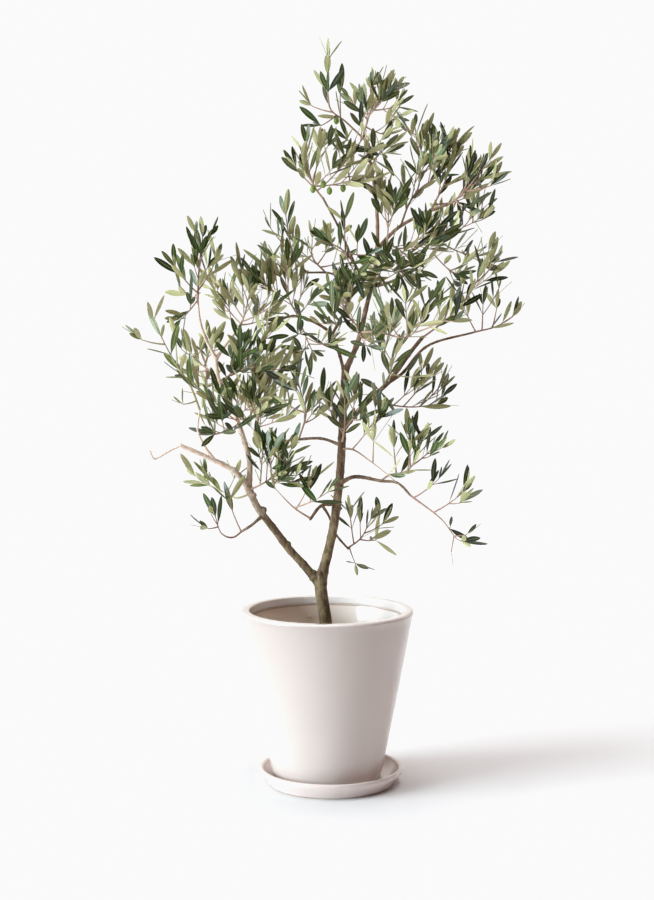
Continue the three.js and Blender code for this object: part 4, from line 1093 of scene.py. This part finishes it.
def wrinkle(piece):
    """Moves each point along its normal: wrinkles on broad swellings, shallower higher up."""
    vertices = piece.data.vertices
    points, normals = vectors_of(vertices, "co"), vectors_of(vertices, "normal")
    for i, (x, y, z) in enumerate(points / MM):
        fine = noise.fractal(Vector((x / WRINKLE, y / WRINKLE, z / WRINKLE_LENGTH)), 0.9, 2.2, 3)
        broad = noise.noise(Vector((x / SWELLING, y / SWELLING, z / SWELLING_LENGTH)))
        keep = min(1.0, max(0.35, 1.2 - z / 1400))
        points[i] += normals[i] * BARK_RELIEF * MM * keep * (fine * 0.5 + broad * 0.9)
    vertices.foreach_set("co", points.ravel())
    piece.data.update()


wrinkle(wood.make("bark_skin", [bark], "bark", list(limbs)))
print("bark relief is about", BARK_RELIEF, "mm deep")

# %% [markdown]
# ## Which room a leaf has
#
# Sprays don't grow through one another: a side twig ends in the space that is nearer to its own
# spray's lines than to any other's, and a leaf stays close to those lines unless it is inside the
# crown. A new leaf or twig is tried as a short line and is left out if it breaks that rule, touches a
# bough, or lies on a leaf that is there already. Its first part, where it joins its twig, isn't
# tested. The distances are between line pieces, and numpy works them out for all pieces at once.

# %% Keeping things apart
SPRAY_REACH = 92
SPACE_MARGIN = 1.0
LEAF_KEEP_APART = 1.2
OUTER_REACH = 50
NEIGHBOUR_REACH = 85
TESTED_FROM = 0.3
PIECES_IN_A_LIMB, PIECES_IN_A_LINE = 14, 6


def pieces_of(curve, count):
    """Straight pieces along a curve, each as the six numbers of its two ends."""
    points = curve.at(np.linspace(0, 1, count + 1))
    return np.hstack([points[:-1], points[1:]])


def distance_to_pieces(point, pieces):
    """The least distance from a point to each piece."""
    a, b = pieces[:, :3], pieces[:, 3:]
    along = b - a
    share = np.clip(((point - a) * along).sum(1) / np.maximum((along ** 2).sum(1), 1e-9), 0, 1)
    return np.linalg.norm(a + along * share[:, None] - point, axis=1)


def gap_between(start, end, pieces, samples=7):
    """The least distance from a line to each of many lines, from points along the first."""
    samples = [start + (end - start) * t for t in np.linspace(0, 1, samples)]
    return np.min([distance_to_pieces(sample, pieces) for sample in samples], axis=0)


wood_pieces, wood_radii = [], []
for limb in limbs.values():
    thick, thin = limb["girth"]
    for i, piece in enumerate(pieces_of(limb["curve"], PIECES_IN_A_LIMB)):
        wood_pieces.append(piece)
        wood_radii.append(thick + (thin - thick) * i / PIECES_IN_A_LIMB)
wood_pieces, wood_radii = np.array(wood_pieces), np.array(wood_radii)

for spray in SPRAYS.values():
    foot = limbs[spray["on"]]["curve"].at(spray["at"])
    stem = through_knees([foot, *spray["stem"]])
    shoots = [shoot_curve(stem.at(place), tip) for place, *tip in spray["shoots"]]
    spray["curves"] = [stem, *shoots]
    spray["lines"] = np.concatenate([pieces_of(curve, PIECES_IN_A_LINE) for curve in spray["curves"]])
all_lines = np.concatenate([spray["lines"] for spray in SPRAYS.values()])
line_owner = np.repeat(np.arange(len(SPRAYS)), [len(spray["lines"]) for spray in SPRAYS.values()])
spray_boxes = np.array([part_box(name) for name in SPRAYS]) / MM
crown_low, crown_high = spray_boxes.min(axis=(0, 1)), spray_boxes.max(axis=(0, 1))
print("lines that share out the crown:", len(all_lines))

# %% The room that is left
class Room:
    """What has grown so far, as line pieces, and the test for what may still grow."""

    def __init__(self):
        self.grown = []

    def inside_own_space(self, point, owner):
        """Whether a point is nearer to its own spray's lines than to any other spray's."""
        distances = distance_to_pieces(point, all_lines)
        own = distances[line_owner == owner].min()
        return own <= SPRAY_REACH and distances[line_owner != owner].min() > own + SPACE_MARGIN

    def between_sprays(self, point, owner):
        """Whether a point lies inside the crown, where two other sprays are close by."""
        others = distance_to_pieces(point, all_lines) < NEIGHBOUR_REACH
        return len(set(line_owner[others]) - {owner}) >= 2

    def keeps_outline(self, point, owner):
        """Whether a point stays close to its spray's own lines, or lies inside the crown."""
        if (point < crown_low).any() or (point > crown_high).any():
            return False
        own = distance_to_pieces(point, all_lines[line_owner == owner]).min()
        return own <= OUTER_REACH or self.between_sprays(point, owner)

    def is_free(self, start, end, half_width):
        """Whether the outer part of a line keeps clear of the wood and of what has grown."""
        outer = start + (end - start) * TESTED_FROM
        if (gap_between(outer, end, wood_pieces) - wood_radii).min() < half_width * 0.4 + SPACE_MARGIN:
            return False
        return not self.grown or gap_between(outer, end, np.array(self.grown)).min() > LEAF_KEEP_APART

    def has_room(self, start, end, half_width, owner):
        return self.keeps_outline(end, owner) and self.is_free(start, end, half_width)

    def take(self, start, end):
        self.grown.append(np.concatenate([start + (end - start) * TESTED_FROM, end]))


print("the sprays' boxes reach from", crown_low.round(), "to", crown_high.round(), "mm")

# %% [markdown]
# ## One leaf
#
# An olive leaf is a narrow lance, four or five times as long as it is wide, dark and glossy above
# and covered with silvery scales below. It folds a little along its rib, its margins roll under and
# the blade bends back. So the leaf is a strip of cross-sections: six points over the upper face,
# where the middle two carry the pale rib, and six under the lower face, about half a millimetre below.
# Upper and lower face are kept apart at the margin, which keeps their shading crisp.

# %% Leaf blade
STATIONS = np.array([0.0, 0.09, 0.15, 0.24, 0.36, 0.50, 0.64, 0.77, 0.88, 0.955, 1.0])
STALK_ENDS = STATIONS[1]
UPPER = np.array([-1.0, -0.55, -0.09, 0.09, 0.55, 1.0])
BLADE_THICKNESS = 0.5
THICKNESS_ACROSS = BLADE_THICKNESS * np.array([0.1, 0.8, 1.5, 1.5, 0.8, 0.1])
UPPER_FACE, UNDER_FACE, RIB = 0, 1, 2


def leaf_outline():
    """Half width at each station, as a share of the leaf's half width."""
    beyond_stalk = np.clip((STATIONS - STALK_ENDS) / (1 - STALK_ENDS), 0, 1)
    width = np.sin(pi * beyond_stalk ** 1.15) ** 0.62
    stalk = 0.13 * (1 - STATIONS) + 0.02
    return np.maximum(width, stalk)


HALF_WIDTHS = leaf_outline()


def blade(root, heading, face, length, width, fold, curl, bend, sweep):
    """Points of one leaf. `face` is where its upper side looks."""
    sideways = np.cross(heading, face)
    along = STATIONS[:, None]
    half = (HALF_WIDTHS * width / 2)[:, None]
    across = UPPER[None, :] * half
    lift = fold * np.abs(across) - curl * across ** 2 / (width / 2)
    arch = -bend * length * along ** 2
    drift = sweep * length * along ** 2
    upper = (root + heading * (along * length)[..., None] + sideways * (across + drift)[..., None]
             + face * (lift + arch)[..., None])
    lower = upper - face * (THICKNESS_ACROSS[None, :] * np.minimum(1, half))[..., None]
    return np.concatenate([upper, lower], axis=1).reshape(-1, 3)


def blade_faces():
    """Faces of any leaf, and which finish each takes."""
    faces, kinds = [], []
    columns = len(UPPER)
    for station in range(len(STATIONS) - 1):
        for column in range(columns - 1):
            here = station * 2 * columns + column
            after = here + 2 * columns
            faces.append([here, here + 1, after + 1, after])
            kinds.append(RIB if column == columns // 2 - 1 else UPPER_FACE)
            here, after = here + columns, after + columns
            faces.append([here, after, after + 1, here + 1])
            kinds.append(UNDER_FACE)
    return faces, kinds


BLADE_FACES, BLADE_KINDS = blade_faces()
print("faces in one leaf:", len(BLADE_FACES))

# %% [markdown]
# ## Leaf colours
#
# On the tree the tones go by age and by light: leathery dark leaves, fresher ones near the tips, and
# dull grey-green ones in the shade. Each spray is dealt one of these tones, with a few strays of two
# others, and a tone is three plain colours: the upper face, the silvery lower face and the rib. The
# three parts differ in roughness and gloss as well. Leaves of one tone share a mesh until it is full.

# %% Leaf finishes
TONES = {
    "dark": (rgb(29, 44, 14), rgb(156, 153, 108), rgb(114, 120, 74)),
    "green": (rgb(56, 76, 27), rgb(168, 166, 118), rgb(128, 136, 84)),
    "grey": (rgb(76, 88, 42), rgb(184, 179, 133), rgb(148, 150, 106)),
    "fresh": (rgb(98, 112, 58), rgb(194, 193, 146), rgb(164, 170, 112)),
}
STRAYS = {
    "dark": ("green", "grey"),
    "green": ("dark", "fresh"),
    "grey": ("green", "dark"),
    "fresh": ("grey", "green"),
}
LEAF_PARTS = ("upper", 0.38, 0.5), ("under", 0.62, 0.3), ("rib", 0.5, 0.4)


def plain_finish(name, colour, roughness, gloss):
    """A material of one colour."""
    material, finish = new_finish(name)
    finish.surface(Base_Color=colour, Roughness=roughness, Specular_IOR_Level=gloss)
    return material


def leaf_finishes(tone):
    """Three materials, in the order of the numbers that `blade_faces` deals out."""
    return [plain_finish(f"leaf_{tone}_{part}", colour, roughness, gloss)
            for colour, (part, roughness, gloss) in zip(TONES[tone], LEAF_PARTS)]


LEAVES_IN_A_PIECE = 900
leaf_pieces = {tone: [] for tone in TONES}


def leaf_piece(tone):
    """The mesh that takes the next leaf of a tone; a new one is begun when the last is full."""
    if not leaf_pieces[tone] or leaf_pieces[tone][-1]["leaves"] >= LEAVES_IN_A_PIECE:
        leaf_pieces[tone].append(dict(clay=Clay(), leaves=0, nodes=set()))
    return leaf_pieces[tone][-1]


print("leaf tones:", ", ".join(TONES))

# %% [markdown]
# ## Growing a spray
#
# The rule is the one that the measured solids grew by, carried further: more pairs, leaves at their
# real size, and side twigs that branch once more. Leaves stand in opposite pairs, each pair turned
# a quarter across the last; a side twig may grow in a leaf's armpit; and the twig ends in a small
# pair round its bud.

# %% The rule of growth
PAIR_SPACING = 13.5
LEAF_LENGTH = 52.0
LEAF_WIDTH = 10.0
LEAF_SPREAD = radians(43)
LEAF_LIFT = 0.37
SIDE_TWIG_CHANCE = 0.36
INNER_TWIG_LENGTH = 66
OUTER_TWIG_LENGTH = 26
SHOOT_BARE, SIDE_BARE = 0.24, 0.25
TIP_RADIUS = 0.75
STEM_RADIUS, SHOOT_RADIUS, SIDE_RADIUS = 2.0, 1.5, 1.05
TWIG_SIDES, TWIG_RING_SPACING = 6, 3.2
STRAY_FROM, SECOND_STRAY_FROM = 0.74, 0.88
FIRST_SPRAY_SEED = 11
TWIG_SLOT = {"dark": 0, "green": 0, "grey": 1, "fresh": 2}
UP = np.array([0, 0, 1.0])


def leaving(curve, share, roll, angle):
    """A direction at an angle from the twig, lifted toward the light."""
    heading = curve.heading(share) * cos(angle) + curve.outward(share, roll) * sin(angle)
    return unit(heading + UP * LEAF_LIFT)


def turn_about(vector, axis, angle):
    """A vector turned about an axis of length 1."""
    along = axis * np.dot(axis, vector) * (1 - cos(angle))
    return vector * cos(angle) + np.cross(axis, vector) * sin(angle) + along


class Grower:
    """Grows one spray after another into shared twig and leaf meshes."""

    def __init__(self):
        self.room = Room()
        self.twigs = Clay()
        self.leaves = 0

    def spray(self, index, name):
        """Grows the stem and the shoots of one spray, and returns how many leaves they bear."""
        spray, before = SPRAYS[name], self.leaves
        self.owner, self.name, self.tone, self.fullness = index, name, spray["tone"], spray["full"]
        self.draws = seeded_draws(FIRST_SPRAY_SEED + index)
        stem, *shoots = spray["curves"]
        self.twig(stem, STEM_RADIUS, spray["bare"], level=0)
        for shoot in shoots:
            self.twig(shoot, SHOOT_RADIUS, shoot.length * SHOOT_BARE, level=1)
        return self.leaves - before

    def draw(self):
        return next(self.draws)

    def twig(self, curve, thick, bare, level):
        """Pairs of leaves along a twig, perhaps with side twigs, and a small pair at its tip."""
        leafy = curve.length - bare
        pairs = max(1, round(leafy * min(1.0, 0.4 + 0.6 * self.fullness) / PAIR_SPACING))
        places = [(bare + leafy * (i + 1) / pairs) / curve.length for i in range(pairs)]
        places[-1] = 1.0
        self.twig_mesh(curve, thick, places)
        roll = self.draw() * 2 * pi
        for place in places:
            roll += pi / 2 + (self.draw() - 0.5) * 0.7
            last = place == 1.0
            for side in (0, pi):
                angle = LEAF_SPREAD * (0.55 + 0.9 * self.draw())
                size = 0.7 + 0.4 * self.draw()
                if level < 2 and not last and self.draw() < SIDE_TWIG_CHANCE * self.fullness:
                    self.side_twig(curve, place, roll + side, angle, level)
                self.leaf(curve, place, roll + side, angle, size)
            if last:
                self.leaf(curve, place, roll + pi / 2, angle * 0.3, 0.7)
                self.leaf(curve, place, roll - pi / 2, angle * 0.45, 0.45)

    def side_twig(self, parent, place, roll, angle, level):
        """Tries a long twig, which only grows inside the crown, and then a short one."""
        root = parent.at(place)
        heading = leaving(parent, place, roll, angle)
        long = INNER_TWIG_LENGTH * (0.7 + 0.5 * self.draw())
        short = OUTER_TWIG_LENGTH * (0.7 + 0.5 * self.draw())
        for length in (long, short):
            tip = root + heading * length
            if length == long and not self.room.between_sprays(tip, self.owner):
                continue
            if self.room.inside_own_space(tip, self.owner) and self.room.has_room(root, tip, 1.0, self.owner):
                self.room.take(root, tip)
                self.twig(shoot_curve(root, tip), SIDE_RADIUS, length * SIDE_BARE, level + 1)
                return

    def twig_mesh(self, curve, thick, places):
        """A thin tube, a little swollen where each pair of leaves stands."""
        thin = min(thick, TIP_RADIUS)

        def radius_at(share):
            node = sum(exp(-((share - place) * curve.length / 1.6) ** 2) for place in places)
            return (thick + (thin - thick) * share) * (1 + 0.22 * min(1, node))
        rings = max(4, round(curve.length / TWIG_RING_SPACING))
        self.twigs.add(*tube(curve, rings, TWIG_SIDES, radius_at, rounded_tip=True), TWIG_SLOT[self.tone])

    def leaf(self, curve, place, roll, angle, size):
        """One leaf, if it has room."""
        root = curve.at(place)
        heading = leaving(curve, place, roll, angle)
        length = LEAF_LENGTH * size
        width = LEAF_WIDTH * (0.55 + 0.45 * size) * (0.85 + 0.3 * self.draw())
        twist, fold, bend, sweep, stray = (self.draw() for _ in range(5))
        tip = root + heading * length
        if not self.room.has_room(root, tip, width / 2, self.owner):
            return
        self.room.take(root, tip)
        tangent = curve.heading(place)
        face = unit(tangent - heading * np.dot(tangent, heading))
        face = turn_about(face, heading, (twist - 0.5) * 2.5)
        tone = self.tone if stray < STRAY_FROM else STRAYS[self.tone][int(stray > SECOND_STRAY_FROM)]
        points = blade(root, heading, face, length, width, fold=0.1 + 0.25 * fold, curl=0.22,
                       bend=(bend - 0.3) * 0.16, sweep=(sweep - 0.5) * 0.12)
        piece = leaf_piece(tone)
        piece["clay"].add(points, BLADE_FACES, BLADE_KINDS)
        piece["nodes"].add(self.name)
        piece["leaves"] += 1
        self.leaves += 1


grower = Grower()
leaves_on = {name: grower.spray(index, name) for index, name in enumerate(SPRAYS)}
print("leaves:", grower.leaves, "in all, the most on", max(leaves_on, key=leaves_on.get))

# %% Twig and leaf pieces
twig_finishes = [plain_finish("twig_brown", rgb(160, 128, 112), 0.7, 0.35),
                 plain_finish("twig_tan", rgb(188, 158, 138), 0.7, 0.35),
                 plain_finish("twig_green", rgb(172, 164, 124), 0.65, 0.35)]
grower.twigs.make("twigs", twig_finishes, "foliage", list(SPRAYS))
for tone, pieces in leaf_pieces.items():
    finishes = leaf_finishes(tone)
    for number, piece in enumerate(pieces, start=1):
        piece["clay"].make(f"leaves_{tone}_{number}", finishes, "foliage", sorted(piece["nodes"]))

# %% [markdown]
# ## Olives
#
# A few green olives hang by short stalks near the top: plump ellipsoids with a small point below.

# %% Olives
OLIVE_RADIUS, OLIVE_HALF_LENGTH = 4.7, 6.4
STALK_LENGTH, STALK_RADIUS = 3.0, 0.55

olive_skin = plain_finish("olive_skin", rgb(118, 140, 60), 0.34, 0.5)
ball_points, ball_faces = grid_ball(20, 14)
berry = ball_points * [OLIVE_RADIUS, OLIVE_RADIUS, OLIVE_HALF_LENGTH]
berry[:, :2] *= 1 - 0.12 * (berry[:, 2:] < 0) * (berry[:, 2:] / OLIVE_HALF_LENGTH) ** 2
hanging = [spray["curves"][line].at(place)
           for spray in SPRAYS.values() for line, place in spray.get("olives", [])]
clay = Clay()
for twig_point in hanging:
    centre = twig_point - UP * (OLIVE_HALF_LENGTH + STALK_LENGTH)
    clay.add(berry + centre, ball_faces)
    stalk = shoot_curve(twig_point, centre + UP * (OLIVE_HALF_LENGTH - 0.5))
    clay.add(*tube(stalk, 3, 6, lambda share: STALK_RADIUS))
clay.make("olives", [olive_skin], "foliage", ["spray_olives", "spray_top_left"])
print("olives:", len(hanging))
